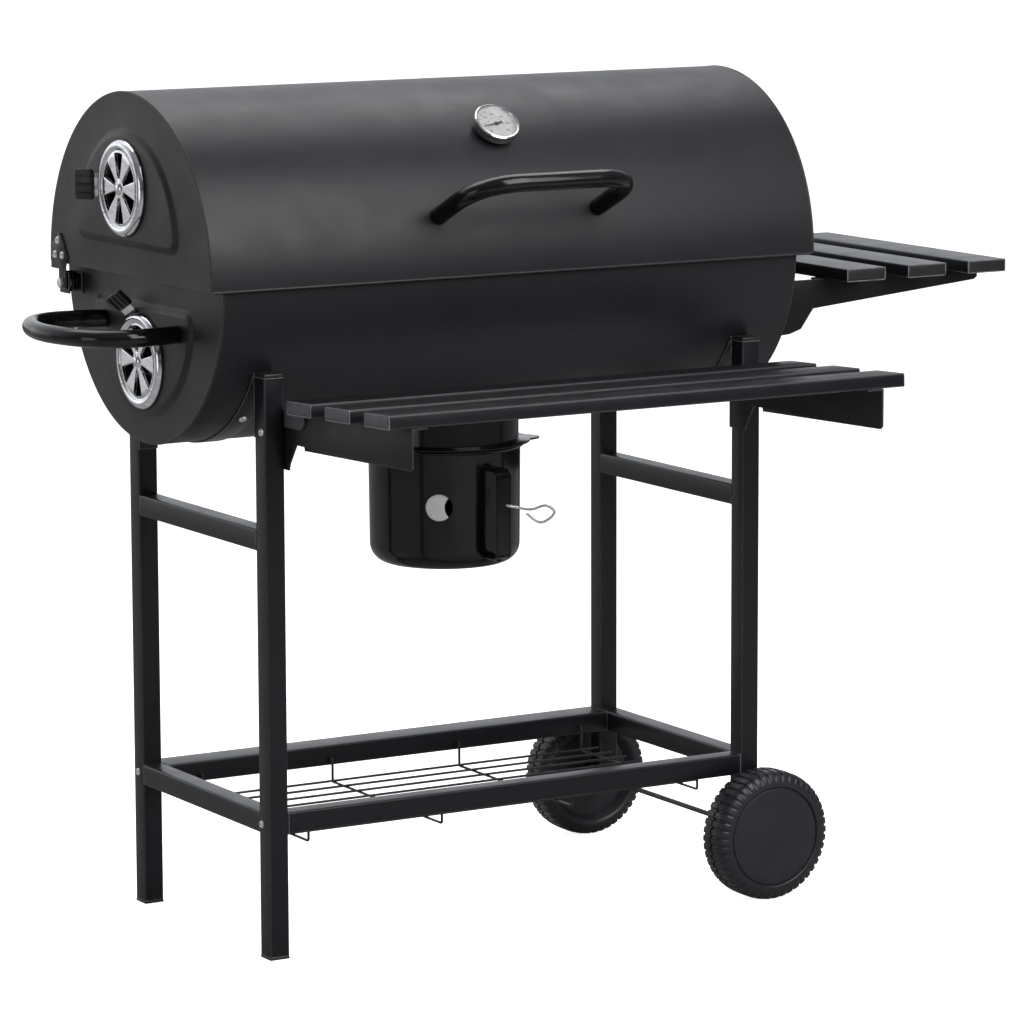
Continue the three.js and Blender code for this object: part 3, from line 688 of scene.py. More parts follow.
def build_end_plate(node, side, radius, rim, direction, panel, centre, hole):
    """A pressed end plate: rings from its edge over the raised D panel to the vent hole or the middle."""
    low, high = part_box(node)
    face = high.x - EMBOSS if side > 0 else low.x + EMBOSS
    corner_y = sqrt(radius ** 2 - (rim - DRUM_Z) ** 2)
    columns = 180
    angles = [2 * pi * i / columns for i in range(columns)]
    angles += [atan2(rim - centre[1], s * corner_y + DRUM_Y - centre[0]) % (2 * pi) for s in (-1, 1)]
    angles.sort()
    steps, ramp_half = 9, 5
    ramp = [(ramp_half - 2 * ramp_half * i / steps) * MM for i in range(steps + 1)]
    heights = [EMBOSS * (3 * t * t - 2 * t ** 3) for t in (i / steps for i in range(steps + 1))]

    def ring(distance, height):
        return [(face + side * height, centre[0] + distance(a) * cos(a), centre[1] + distance(a) * sin(a))
                for a in angles]

    def edge(inset):
        return lambda a: plate_edge(radius, rim, direction, centre, a) - inset

    def on_panel(level):
        return lambda a: panel.along_ray(centre, a, level)

    outer = [ring(edge(0), -0.4 * MM), ring(edge(0.4 * MM), 0)]
    outer += [ring(on_panel(level), height) for level, height in zip(ramp, heights)]
    inside = hole if hole else 20 * MM
    outer.append(ring(lambda a: inside, EMBOSS))
    back = [[(x - side * SHEET, y, z) for x, y, z in points] for points in reversed(outer)]
    count = len(angles)
    rings = outer + back
    points = [p for points in rings for p in points]
    if hole:
        faces = ring_faces(count, len(rings), True)
    else:
        faces = ring_faces(count, len(outer), False)
        start = len(outer) * count
        last = start + (len(back) - 1) * count
        faces += [[start + i for i in f] for f in ring_faces(count, len(back), False)]
        faces += [(i, (i + 1) % count, last + (i + 1) % count, last + i) for i in range(count)]
        faces.append(tuple(range(start - count, start)))
        faces.append(tuple(range(start, start + count)))
    form = Form().add(points, faces)
    # A rolled seam runs round the curved edge.
    seam = arc_points(DRUM_Y, DRUM_Z, radius - BEAD * 0.7, *drum_arc(radius, rim, direction), 120)
    sweep([(face - side * BEAD, y, z) for y, z in seam], circle(BEAD, 10), form)
    refine(node, form, "end_paint")


def build_shell(node, radius, half, rim, direction):
    """A rolled sheet of the drum, with a hem along each long edge."""
    steps, chamfer = 144, 0.3 * MM
    path = arc_points(0, 0, 1, *drum_arc(radius, rim, direction), steps)
    profile = [(-half, radius - SHEET), (-half, radius - chamfer), (-half + chamfer, radius),
               (half - chamfer, radius), (half, radius - chamfer), (half, radius - SHEET)]
    points = [(DRUM_X + x, DRUM_Y + r * c, DRUM_Z + r * s) for c, s in path for x, r in profile]
    form = Form().add(points, capped_faces(len(profile), steps + 1))
    for c, s in (path[0], path[-1]):
        r = radius - BEAD * 0.8
        line = [(DRUM_X + x, DRUM_Y + r * c, DRUM_Z + r * s) for x in (-half + BEAD, half - BEAD)]
        sweep(line, circle(BEAD, 10), form)
    return refine(node, form, "drum_paint")


def build_drum():
    """Both shells and the four end plates."""
    body_rim = barrel_high.z
    lid_rim = lid_low.z
    body_half = (barrel_high.x - barrel_low.x) / 2
    lid_half = (lid_high.x - lid_low.x) / 2
    build_shell("lid_shell", LID_RADIUS, lid_half, lid_rim, 1)
    trough = build_shell("barrel_shell", BODY_RADIUS, body_half, body_rim, -1)
    ash_hole = shift(pot_axis + Vector((0, 0, barrel_low.z - 20 * MM)))
    carve(trough, extruded(circle(70 * MM, 64), 80 * MM, ash_hole))
    upper = DPanel(783 * MM, 123 * MM, 1)
    lower = DPanel(713 * MM, 120 * MM, -1)
    for name, side in SIDES:
        hole = VENT_HOLE if side < 0 else 0
        build_end_plate(f"lid_end_{name}", side, LID_RADIUS, lid_rim, 1, upper,
                        (DRUM_Y, middle("vent_cover_upper").z), hole)
        build_end_plate(f"barrel_end_{name}", side, BODY_RADIUS, body_rim, -1, lower,
                        (DRUM_Y, middle("vent_cover_lower").z), hole)


def build_grate_ledges():
    """The folded ledges that carry the cooking grates, inside each end of the trough."""
    low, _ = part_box("barrel_end_left")
    inside = DRUM_X - low.x - EMBOSS - SHEET
    reach, width = 14 * MM, 240 * MM
    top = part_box("cooking_grate_left")[0].z
    for name, side in SIDES:
        matrix = shift(DRUM_X + side * (inside - reach / 2), DRUM_Y, top - SHEET)
        ledge = extruded(rounded_rectangle(reach, width, 3 * MM), SHEET, matrix)
        make(f"grate_ledge_{name}", ledge, f"barrel_end_{name}")


# ---------------- vents
WINDOWS = 6
COLUMNS = 16 * WINDOWS
WINDOW = (11 * MM, 39.5 * MM)
VENT_SHEET = 0.9 * MM
VENT_TRAVEL = radians(30)
TAB_HALF = radians(10)


def pierced(profile, slot=None):
    """A disc from (radius, height) pairs with six windows cut between the two window radii."""
    points = [(r * cos(a), r * sin(a), z) for r, z in profile
              for a in (2 * pi * i / COLUMNS for i in range(COLUMNS))]
    faces = []
    for ring in range(len(profile) - 1):
        r0, r1 = profile[ring][0], profile[ring + 1][0]
        for i in range(COLUMNS):
            angle = 2 * pi * (i + 0.5) / COLUMNS
            away = abs((angle - pi / 2 + pi / WINDOWS) % (2 * pi / WINDOWS) - pi / WINDOWS)
            if WINDOW[0] <= min(r0, r1) and max(r0, r1) <= WINDOW[1] and away < pi / WINDOWS / 2:
                continue
            if slot and slot(angle, ring):
                continue
            j = (i + 1) % COLUMNS
            faces.append((ring * COLUMNS + i, ring * COLUMNS + j, (ring + 1) * COLUMNS + j,
                          (ring + 1) * COLUMNS + i))
    return points, faces


def thicken(name, points, faces, matrix, thickness, node, extra=None):
    """A sheet of the given thickness with softened edges, joined by an extra form if there is one."""
    mesh = mesh_of(name, [matrix @ Vector(p) for p in points], faces)
    with editing(mesh) as work:
        bmesh.ops.remove_doubles(work, verts=work.verts, dist=1e-6)
        loose = [v for v in work.verts if not v.link_faces]
        bmesh.ops.delete(work, geom=loose, context="VERTS")
        bmesh.ops.recalc_face_normals(work, faces=work.faces)
    piece = placed(name, mesh)
    solidify = piece.modifiers.new("sheet", "SOLIDIFY")
    solidify.thickness = thickness
    solidify.offset = 0
    add_bevel(piece, thickness * 0.3, 2, 50)
    applied(piece)
    if extra:
        with editing(piece.data) as work:
            verts = [work.verts.new(p) for p in extra.points]
            for face in extra.faces:
                work.faces.new([verts[i] for i in face])
    shade(piece.data, 35)
    return dress(piece, node, None, (node,))


def vent_frame(cover):
    """A frame on the end plate behind a vent: Z outward, Y up."""
    clear = 0.3 * MM
    centre = middle(cover)
    turn = Matrix(((0, 0, -1), (-1, 0, 0), (0, 1, 0))).to_4x4()
    return shift(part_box(cover)[1].x + clear, centre.y, centre.z) @ turn


def build_vent(level, arm):
    """A vent's cover with its rivet, the damper with its bent tab at the arm's angle, and the grip."""
    cover, damper, grip = f"vent_cover_{level}", f"vent_damper_{level}", f"vent_grip_{level}"
    matrix = vent_frame(cover)

    # The damper's tab comes out through a slot in the bezel's outer rings.
    def slot(angle, ring):
        behind = (arm + TAB_HALF - angle) % (2 * pi)
        return ring >= slot_ring and behind < VENT_TRAVEL + 2 * TAB_HALF

    slot_ring = 14
    disc = [(r, 5.5) for r in (0, 6, 11, 18, 25, 32, 39.5)]
    bezel = [(41, 5.2), (42, 4.6), (43.2, 5.0), (44.5, 6.2), (47, 7.0), (49.5, 6.6), (51.6, 5.4), (53, 3.6),
             (53.6, 2.6), (53.6, 0.7)]
    points, faces = pierced(in_mm(disc + bezel), slot)
    rivet = [(0, 1), (3, 1), (3, 5.9), (7.2, 5.9), (7.2, 6.6), (6.6, 7.4), (4.4, 8.6), (2.0, 9.1), (0, 9.2)]
    extra = lathed(rivet, 32, matrix)
    crimp_radius = 47 * MM
    for crimp in (90, 218, 322):
        t = radians(crimp)
        spot = shift(crimp_radius * cos(t), crimp_radius * sin(t), 6.6 * MM)
        spot = spot @ spin(t, "Z")
        bump = [(0, -0.6), (2.6, -0.6), (2.4, 0.4), (1.4, 0.9), (0, 1.0)]
        lathed(bump, 16, matrix @ spot, extra)
    thicken("fine_" + cover, points, faces, matrix, VENT_SHEET, cover, extra=extra)

    flat = 2.5
    points, faces = pierced(in_mm([(r, flat) for r in (3.4, 11, 20, 30, 39.5, 45, 50.6)]))
    arm_turn = spin(arm, "Z")
    outward = matrix @ arm_turn
    lift, elbow, length = radians(40), 57.6, 16
    narrow, wide = 7, 13
    tab = [(45.6, flat, narrow), (52.8, flat, narrow), (54.4, flat, wide), (elbow - 1, flat, wide),
           (elbow + 1, flat + 0.7, wide), (elbow + length * cos(lift), flat + length * sin(lift), wide)]
    base = len(points)
    for x, z, half in tab:
        points += [arm_turn @ Vector((x * MM, y * MM, z * MM)) for y in (-half, half)]
    faces += [(base + 2 * i, base + 2 * i + 1, base + 2 * i + 3, base + 2 * i + 2)
              for i in range(len(tab) - 1)]
    thicken("fine_" + damper, points, faces, matrix, VENT_SHEET, damper)

    tip = outward @ shift(elbow * MM, 0, 2 * MM) @ spin(-lift, "Y")
    block = Form()
    outline = rounded_rectangle(21 * MM, 34 * MM, 3 * MM, 5)
    stack_rings(block, outline, [(-2.5, 1.0), (-2.2, 0.4), (-1.5, 0), (2.4, 0), (3.2, 0.4), (3.5, 1.2)],
                tip @ shift(17.5 * MM, 0, 0))
    for y in (-10, 0, 10):
        rib = [tip @ Vector((x * MM, y * MM, 3.3 * MM)) for x in (9.5, 11, 24, 25.5)]
        sweep(rib, [(2.6 * MM * u, 1.3 * MM * v) for u, v in circle(1, 12)], block)
    refine(grip, block)


def stack_rings(form, outline, levels, matrix):
    """A block whose outline is inset by each level's second value at its first, in millimetres."""
    width = max(x for x, _ in outline)
    depth = max(y for _, y in outline)
    points = []
    for height, inset in levels:
        shrink = inset * MM
        points += [(x * (1 - shrink / width), y * (1 - shrink / depth), height * MM) for x, y in outline]
    return form.add(points, capped_faces(len(outline), len(levels)), matrix)


# ---------------- handles
def build_handles():
    """Both tube handles, smoothly bent."""
    tube = circle(10 * MM, 32)
    foot_angle, lean = radians(18.3), radians(24.5)
    foot_x, root, reach, bend = 103 * MM, 1.2 * MM, 100 * MM, 58 * MM

    def point(x, along):
        return Vector((DRUM_X + x, DRUM_Y - LID_RADIUS * cos(foot_angle) - along * cos(lean),
                       DRUM_Z + LID_RADIUS * sin(foot_angle) + along * sin(lean)))

    corners = [point(-foot_x, root), point(-foot_x, reach), point(foot_x, reach), point(foot_x, root)]
    refine("lid_handle", sweep(rounded_path(corners, bend, 24), tube))

    z = middle("side_handle").z
    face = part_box("side_handle")[1].x
    outline = [(0, 90), (27, 97), (68, 98), (102, 68), (118, 0)]
    near = [(face - out * MM, DRUM_Y - across * MM, z) for out, across in outline]
    far = [(x, 2 * DRUM_Y - y, z) for x, y, z in near[-2::-1]]
    refine("side_handle", sweep(spline(near + far, 12), tube))


# ---------------- thermometer
GAUGE_TILT = radians(42)
DIAL_LEVEL = 11.8
INK = 0.12


def build_thermometer():
    turn = spin(GAUGE_TILT, "X")
    centre = Vector((DRUM_X, DRUM_Y, DRUM_Z)) + turn @ Vector((0, 0, LID_RADIUS))
    gauge = shift(centre) @ turn

    stem = [(0, -60), (2.5, -60), (2.5, -6), (4, -6), (4, 2)]
    cup = [(22, 3), (24.5, 4.6), (25.3, 8), (25.6, 11)]
    rim = [(26.8, 12), (27, 14), (26.6, 15.6), (25.4, 16.4), (24.2, 16.2), (23.6, 15.2), (23.4, 11), (0, 11)]
    parts = {
        "case": stem + cup + rim,
        "dial": [(0, 11.2), (23.3, 11.2), (23.3, 11.7), (22.8, DIAL_LEVEL), (0, DIAL_LEVEL)],
        "lens": [(0, 14.2), (23.5, 14.2), (23.5, 14.7), (20, 15.0), (0, 15.2)],
    }
    for name, profile in parts.items():
        node = "thermometer_" + name
        refine(node, lathed(profile, 64, gauge))
    build_dial_print(gauge)

    cold = radians(192)
    needle = lathed([(0, 11.9), (2.6, 11.9), (2.6, 12.8), (1.8, 13.4), (0, 13.5)], 32, gauge)
    one_side = [(-8, -1.1), (-4, -1.3), (0, -0.9), (18, -0.25)]
    pointer = [*one_side, (19, 0), *((x, -y) for x, y in reversed(one_side))]
    lifted = gauge @ spin(cold, "Z") @ shift(0, 0, 12.4 * MM)
    extruded(in_mm(pointer), 0.5 * MM, lifted, needle)
    refine("thermometer_needle", needle)


def build_dial_print(gauge):
    """Scale ticks, figures and arcs that lie on the dial."""
    face = gauge @ shift(0, 0, DIAL_LEVEL * MM)
    first, last, steps, minor = radians(225), radians(-45), 12, 3
    tick_end = 21.4
    ticks, bands = Form(), Form()
    for i in range(minor * steps + 1):
        angle = first + (last - first) * i / (minor * steps)
        start, half = (18.2, 0.28) if i % minor == 0 else (19.6, 0.16)
        tick = [(start, -half), (tick_end, -half), (tick_end, half), (start, half)]
        extruded(in_mm(tick), INK * MM, face @ spin(angle, "Z"), ticks)
    for start, end in ((200, 130), (120, 60), (50, -20)):
        start, end = radians(start), radians(end)
        band = arc_points(0, 0, 9.6, start, end, 20) + arc_points(0, 0, 8.6, end, start, 20)
        extruded(in_mm(band), INK * MM, face, bands)
    make("thermometer_ticks", ticks, "thermometer_dial", "dial_ink")
    make("thermometer_bands", bands, "thermometer_dial", "dial_grey")
    figures = 7
    for i in range(figures):
        angle = first + (last - first) * i / (figures - 1)
        spot = Vector((cos(angle), sin(angle), 0)) * 14.6 * MM + Vector((0, 0, INK / 2 * MM))
        build_figure(str(50 * (i + 1)), face @ shift(spot))


def build_figure(text, place):
    """A number standing up on the dial."""
    curve = bpy.data.curves.new("figure", "FONT")
    curve.body = text
    curve.size = 3.6 * MM
    curve.extrude = INK / 2 * MM
    curve.align_x = "CENTER"
    curve.align_y = "CENTER"
    source = placed("figure", curve)
    graph = bpy.context.evaluated_depsgraph_get()
    mesh = bpy.data.meshes.new_from_object(source.evaluated_get(graph))
    bpy.data.objects.remove(source)
    mesh.transform(place)
    dress(placed("thermometer_figure_" + text, mesh), "thermometer_dial", "dial_ink")


# ---------------- wheels
def build_wheels():
    """Wheels with a dished hub cap and two rows of tread blocks that run on over the shoulders."""
    low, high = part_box("wheel_front")
    radius, width = (high.z - low.z) / 2 / MM, (high.y - low.y) / MM
    lugs = 46
    cap = radius - 18.5
    tread, groove = 7.5, 2.2
    centre = width / 2
    shoulder = [(cap + 3, 0), (radius - 12, 0.2), (radius - 8.5, 1.2), (radius - 5, 2.8), (radius - 2.4, 5.0)]
    half = [(radius - 1.0, tread), (radius - 0.4, 11), (radius - 0.3, 15), (radius - 0.1, centre - 2.0)]
    tyre = shoulder + half + [(radius - groove, centre - 1.4)]
    # [radius, distance from the inner side], from the bore round the tread to the hub cap
    profile = [(0, width - 8), (3.4, width - 8), (3.4, 0), (14, 0), (18, 12), (cap - 6, 12), (cap, 2.5)]
    profile += tyre + [(r, width - height) for r, height in reversed(tyre)]
    profile += [(cap + 1.2, width - 0.4), (cap + 0.5, width - 1.2), (cap + 0.3, width - 3.0),
                (cap - 0.5, width - 3.0), (cap - 0.8, width - 1.6), (cap - 2.0, width - 1.1),
                (cap - 8, width - 1.3), (cap - 20, width - 2.6), (cap - 36, width - 3.4), (0, width - 3.7)]

    def ripple(r, height, angle):
        outward = min(1.0, max(0.0, (r - radius + 11) / 3))
        gap = max(0.0, -0.4 - cos(lugs * angle)) / 0.6
        return -groove * min(1.0, 2.2 * gap) * outward

    for name, side in (("front", -1), ("rear", 1)):
        node = f"wheel_{name}"
        low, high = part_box(node)
        centre = middle(node)
        inner = high.y if side < 0 else low.y
        matrix = shift(centre.x, inner, centre.z) @ spin(-side * pi / 2, "X")
        form = lathed(profile, 14 * lugs, matrix, ripple=ripple)
        refine(node, form, angle=50)

    low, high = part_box("axle")
    length = (high.y - low.y) / MM
    profile = [(0, 0), (2.4, 0), (3, 0.6), (3, length - 0.6), (2.4, length), (0, length)]
    centre = middle("axle")
    matrix = shift(centre.x, high.y, centre.z) @ spin(pi / 2, "X")
    refine("axle", lathed(profile, 24, matrix), "coated_wire")


# ---------------- ash pot
pot_low, pot_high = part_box("ash_pot")
POT_RADIUS = 88
POT_BEAD = 4
POT_SHEET = 1.2
POT_TOP = pot_high.z / MM
POT_BOTTOM = pot_low.z / MM
STRAP_TURN = radians(-84)
STRAP_REACH = POT_RADIUS + 28
AIR_HOLE = 15.5 * MM
AIR_HOLE_Z = 0.467
pot_axis = Vector((pot_low.x + (POT_RADIUS + POT_BEAD) * MM, DRUM_Y, 0))


def air_hole(angle, start, depth):
    """A round cutter that points out of the pot at an angle, from its start along that direction."""
    heart = Vector((pot_axis.x, pot_axis.y, AIR_HOLE_Z))
    place = facing(heart, (cos(radians(angle)), sin(radians(angle)), 0)) @ shift(0, 0, start)
    return extruded(circle(AIR_HOLE, 40), depth, place)


def build_pot():
    """The glossy ash pot, with an air hole through it and another in the bright sleeve inside."""
    axis = shift(pot_axis)
    corner = 22
    r, top, bottom = POT_RADIUS, POT_TOP, POT_BOTTOM
    foot = r - corner - 12
    outside = arc_points(r - corner - 1, bottom + corner, corner, -pi / 2, 0, 12)
    inside = arc_points(r - corner - 1, bottom + corner, corner - POT_SHEET, 0, -pi / 2, 12)
    bead = arc_points(r + POT_BEAD - 2.4, top - 2.4, 2.4, -pi / 2, pi / 2, 10)
    profile = [(0, bottom), (foot, bottom), *outside, (r, top - 8), (r + 0.3, top - 5.4), *bead,
               (r - POT_SHEET, top), *inside, (foot, bottom + POT_SHEET), (0, bottom + POT_SHEET)]
    pot = refine("ash_pot", lathed(profile, 96, axis))
    carve(pot, air_hole(56, -0.1, 0.2))

    inner, half = (r - POT_SHEET) * MM, 23 * MM
    low, high = AIR_HOLE_Z - half, AIR_HOLE_Z + half
    near, far = inner - 0.2 * MM, inner - 0.9 * MM
    band = [(far, low), (near, low), (near, high), (far, high)]
    sleeve = make("ash_pot_air_sleeve", turned(band, 128, axis), "ash_pot", "bright_tin")
    carve(sleeve, air_hole(250.5, 0, 0.1))


def build_pot_handle():
    """The strap handle with rolled edges, and the wire clip through it."""
    strap = shift(pot_axis) @ spin(STRAP_TURN, "Z")
    root, out = POT_RADIUS - 0.5, STRAP_REACH - 0.75
    top, bottom, bend, half = POT_TOP - 22, POT_BOTTOM + 16, 10, 9
    line = [(root, top), (out, top), (out, bottom), (root, bottom)]
    path = [strap @ p for p in rounded_path([(x * MM, 0, z * MM) for x, z in line], bend * MM, 10)]
    side = (strap.to_3x3() @ Vector((0, 1, 0))).normalized()
    handle = sweep(path, rounded_rectangle(1.6 * MM, 2 * half * MM, 0.75 * MM, 3), up=side)
    for offset in (-half, half):
        aside = side * offset * MM
        sweep([p + aside for p in path], circle(1.5 * MM, 10), handle)
    make("ash_pot_handle", handle, "ash_pot")

    swing = radians(53)
    through = [(along, 4, 0) for along in (-7, -2, 2.5)]
    curl = [(12, -2), (21, -4), (30, -4), (44, 0), (54, -7), (47, -16), (36, -19), (22, -9)]
    bent = [(along * cos(swing), 4 + along * sin(swing), up) for along, up in curl]
    place = strap @ shift(STRAP_REACH * MM, 0, 0.470)
    wire = [place @ (Vector(p) * MM) for p in spline(through + bent, 8)]
    refine("pot_clip", sweep(wire, circle(1.6 * MM, 12)))


def build_collar():
    """The pot's neck: a flange with an ear, and a tube trimmed to the underside of the drum."""
    axis = shift(pot_axis)
    r, flange, neck_top = POT_RADIUS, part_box("ash_collar")[0].z / MM, 600
    profile = [(r - 3.2, flange), (r + 10.5, flange), (r + 11.6, flange + 0.5), (r + 11.6, flange + 1.8),
               (r + 10.5, flange + 2.3), (r + 1, flange + 2.4), (r - 2, flange + 4), (r - 2, neck_top),
               (r - 3.2, neck_top)]
    collar = lathed(profile, 96, axis)
    ear = [(88, -27), (104, -13), (110, -7), (112, 0), (110, 7), (104, 13), (88, 27)]
    lay = axis @ spin(radians(-20), "Z") @ shift(0, 0, flange * MM)
    extruded(in_mm(ear), 2.3 * MM, lay, collar)
    piece = refine("ash_collar", collar)
    clear, half = 1000 * BODY_RADIUS + 0.6, 200
    across = shift(pot_axis.x, DRUM_Y, DRUM_Z) @ spin(pi / 2, "Y")
    carve(piece, lathed([(0, -half), (clear, -half), (clear, half), (0, half)], 160, across))


# ---------------- wires
def bar(form, start, end, radius, sides=12):
    return sweep([start, end], circle(radius, sides), form)


def build_rack():
    """Eight long wires welded on four cross wires whose ends rise to hook into the rails."""
    low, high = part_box("wire_rack")
    wire = 1.5 * MM
    form = Form()
    long_z, cross_z = 0.125, 0.1225
    first, pitch, hook = 114.6, 31, 6 * MM
    for i in range(8):
        y = at(0, first - pitch * i, 0).y
        bar(form, (low.x, y, long_z), (high.x, y, long_z), wire)
    front, rear = low.y + hook, high.y - hook
    top = high.z - wire
    for x in (-257, -86, 86, 257):
        x = at(x, 0, 0).x
        corners = [(x, low.y, top), (x, front, top), (x, front, cross_z), (x, rear, cross_z), (x, rear, top),
                   (x, high.y, top)]
        sweep(rounded_path(corners, 3 * MM, 5), circle(wire, 12), form, up=Vector((1, 0, 0)))
    refine("wire_rack", form)


def build_grate(node, bars, radius):
    """A welded grate: bars across the drum on two rails."""
    low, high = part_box(node)
    form = Form()
    r = radius * MM
    depth = high.y - low.y
    for share in (0.1, 0.9):
        y = low.y + share * depth
        bar(form, (low.x, y, low.z + r), (high.x, y, low.z + r), r)
    for i in range(bars):
        x = low.x + r + (high.x - low.x - 2 * r) * i / (bars - 1)
        bar(form, (x, low.y, high.z - r), (x, high.y, high.z - r), r)
    refine(node, form)


# ---------------- hinges, brackets and fasteners
def build_brackets():
    """Hinges and shelf brackets: the CAD plates with their edges eased."""
    ease = 0.6
    for side in ("left", "right"):
        soften(f"hinge_plate_{side}", ease)
        soften(f"hinge_bracket_{side}", ease)
        soften(f"hinge_pin_{side}", 0.5)
        soften(f"front_bracket_{side}", ease, "bracket_paint")
    for side in ("front", "rear"):
        soften(f"side_bracket_{side}", ease, "side_paint")


def screw(form, point, normal, radius=4.2, height=2.4):
    """A pan-head screw with a hexagon socket."""
    socket = radius * 0.42
    profile = [(0, 0), (radius, 0), (radius, height * 0.35), (radius * 0.93, height * 0.7),
               (radius * 0.7, height), (socket + 0.5, height), (socket, height - 0.2),
               (socket, height * 0.35), (0, height * 0.35)]
    return lathed(profile, 24, facing(point, normal), form)


def build_fasteners():
    """Zinc screws on the legs, hinge plates and cradles."""
    on_leg = ((155.5, 154.7), (-151, 151.6), (-160, 588.8))
    on_plate = ((197.8, 771.5), (205.2, 754.9), (186.7, 755.4))
    left_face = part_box("leg_front_left")[0].x
    right_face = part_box("leg_front_right")[1].x
    legs = Form()
    for face, normal in ((left_face, (-1, 0, 0)), (right_face, (1, 0, 0))):
        for y, z in on_leg:
            point = at(0, y, z)
            point.x = face
            screw(legs, point, normal)
    make("leg_screws", legs, "leg_front_left", "zinc_steel")

    for name, side in SIDES:
        low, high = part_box(f"hinge_plate_{name}")
        face = low.x if side < 0 else high.x
        form = Form()
        for y, z in on_plate:
            point = at(0, y, z)
            point.x = face
            screw(form, point, (side, 0, 0), 4.4, 2.6)
        make(f"hinge_screws_{name}", form, f"hinge_plate_{name}", "zinc_steel")

    cradles = Form()
    spot = at(0, -94, 593)
    away = Vector((0, spot.y - DRUM_Y, spot.z - DRUM_Z)).normalized()
    for name in ("left", "right"):
        centre = Vector((middle(f"cradle_{name}").x, DRUM_Y, DRUM_Z))
        point = centre + away * (BODY_RADIUS + 1.8 * MM)
        screw(cradles, point, away, 4.6, 2.2)
    make("cradle_bolts", cradles, "cradle_left", "zinc_steel")


def build_lugs():
    """A small rounded grey lug on the outer face of each front shelf bracket, beside the leg."""
    outline = [(-20, -12), (14, -12), (20, -9), (25, -4), (25, 12), (-20, 12)]
    thick, buried = 3 * MM, 0.6 * MM
    upright = Matrix(((0, 0, 1), (-1, 0, 0), (0, 1, 0))).to_4x4()
    for name in ("left", "right"):
        leg_low, leg_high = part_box(f"leg_front_{name}")
        x = leg_high.x + buried - thick if name == "left" else leg_low.x - buried
        spot = at(0, -192, 607)
        spot.x = x
        form = extruded(in_mm(outline), thick, shift(spot) @ upright)
        make(f"bracket_lug_{name}", form, f"leg_front_{name}", "grey_plastic")


# ---------------- stage
def floor_paint():
    """White to the camera with a soft shadow, and a mid grey in what the grill reflects."""
    pale = Paint("pale_floor")
    tone = pale.mix(pale.spread(pale.noise(3, 2), 0, 1), (0.93, 0.93, 0.93), (0.95, 0.95, 0.95))
    pale.set(Base_Color=tone, Roughness=0.9, Specular_IOR_Level=0.0, Emission_Color=(1.0, 1.0, 1.0),
             Emission_Strength=0.88)
    dull = pale.node("ShaderNodeBsdfDiffuse")
    dull.inputs["Color"].default_value = (0.42, 0.42, 0.42, 1)
    pale.blend(pale.seen_by_camera(), dull.outputs["BSDF"], pale.shader.outputs["BSDF"])
    return pale.material


def build_world():
    """White to the camera; for the reflections, a dim room, lighter overhead and towards the back."""
    scene.world = bpy.data.worlds.new("studio")
    studio = Nodes(scene.world)
    room = studio.tree.nodes["Background"]
    room.inputs["Color"].default_value = (0.93, 0.96, 1.0, 1)
    direction = studio.node("ShaderNodeSeparateXYZ")
    studio.link(studio.node("ShaderNodeTexCoord").outputs["Generated"], direction.inputs["Vector"])
    total = studio.node("ShaderNodeMath")
    studio.link(studio.spread(direction.outputs["Z"], 0.05, 0.30, 0, 0.9), total.inputs[0])
    studio.link(studio.spread(direction.outputs["Y"], 0, 0.9, 0.3, 0.85), total.inputs[1])
    studio.link(total.outputs["Value"], room.inputs["Strength"])
    seen = studio.node("ShaderNodeBackground")
    seen.inputs["Color"].default_value = (1, 1, 1, 1)
    seen.inputs["Strength"].default_value = 1.1
    studio.blend(studio.seen_by_camera(), room.outputs["Background"], seen.outputs["Background"])


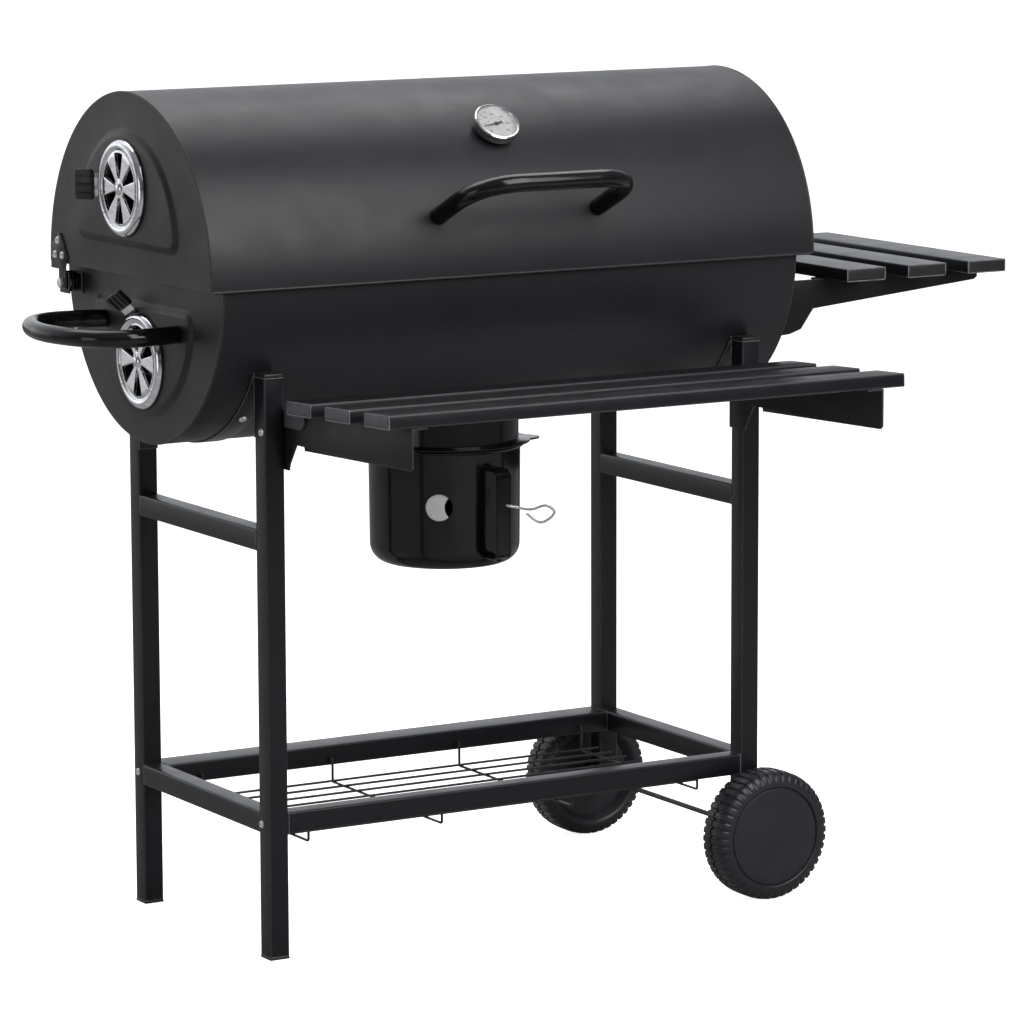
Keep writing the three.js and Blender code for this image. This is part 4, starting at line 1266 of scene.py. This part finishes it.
def build_stage():
    """A pale plain floor, soft studio light and the camera."""
    size = 30
    corners = [(-size, -size, 0), (size, -size, 0), (size, size, 0), (-size, size, 0)]
    mesh = mesh_of("floor", corners, [(0, 1, 2, 3)])
    placed("floor", mesh)
    mesh.materials.append(floor_paint())
    build_world()

    centre = (cad_box[0] + cad_box[1]) / 2
    lamps = [  # name, place from the middle of the grill, width, height, watts
        ("overhead", (0.1, 0.9, 2.1), 2.8, 1.4, 30),
        ("front", (0.4, -2.0, 1.6), 1.6, 2.2, 56),
        ("left", (-3.4, -0.4, 0.1), 1.4, 1.8, 10),
        ("left_rear", (-2.1, 3.0, 0.3), 2.2, 1.6, 5),
    ]
    for name, place, width, height, watts in lamps:
        light = bpy.data.lights.new(name, "AREA")
        light.shape = "RECTANGLE"
        light.size, light.size_y = width, height
        light.energy = watts
        lamp = placed(name, light)
        lamp.location = centre + Vector(place)
        lamp.rotation_mode = "QUATERNION"
        lamp.rotation_quaternion = (-Vector(place)).to_track_quat("-Z", "Y")
        lamp.visible_camera = False

    build_camera()


def build_camera():
    """The viewpoint: its place, and its aim by azimuth, downward pitch and roll."""
    place, lens = (-2.8054, -4.6442, 1.3264), 169.37
    azimuth, pitch, roll = radians(-30.63), radians(9.055), radians(-0.18)
    away = Vector((-sin(azimuth) * cos(pitch), cos(azimuth) * cos(pitch), -sin(pitch)))
    right = Vector((cos(azimuth), sin(azimuth), 0))
    up = right.cross(away)
    level_right = right * cos(roll) + up * sin(roll)
    level_up = up * cos(roll) - right * sin(roll)
    camera = placed("camera", bpy.data.cameras.new("camera"))
    camera.data.sensor_width = 36
    camera.data.lens = lens
    turn = Matrix((level_right, level_up, -away)).transposed().to_4x4()
    camera.matrix_world = shift(place) @ turn
    scene.camera = camera
    scene.view_settings.view_transform = "Standard"


build_stand()
build_slats()
build_drum()
build_grate_ledges()
build_vent("upper", pi)
build_vent("lower", radians(113))
build_handles()
build_thermometer()
build_wheels()
build_pot()
build_pot_handle()
build_collar()
build_rack()
build_grate("cooking_grate_left", 24, 2)
build_grate("cooking_grate_right", 24, 2)
build_grate("charcoal_grate", 32, 2.5)
build_brackets()
build_fasteners()
build_lugs()
build_stage()
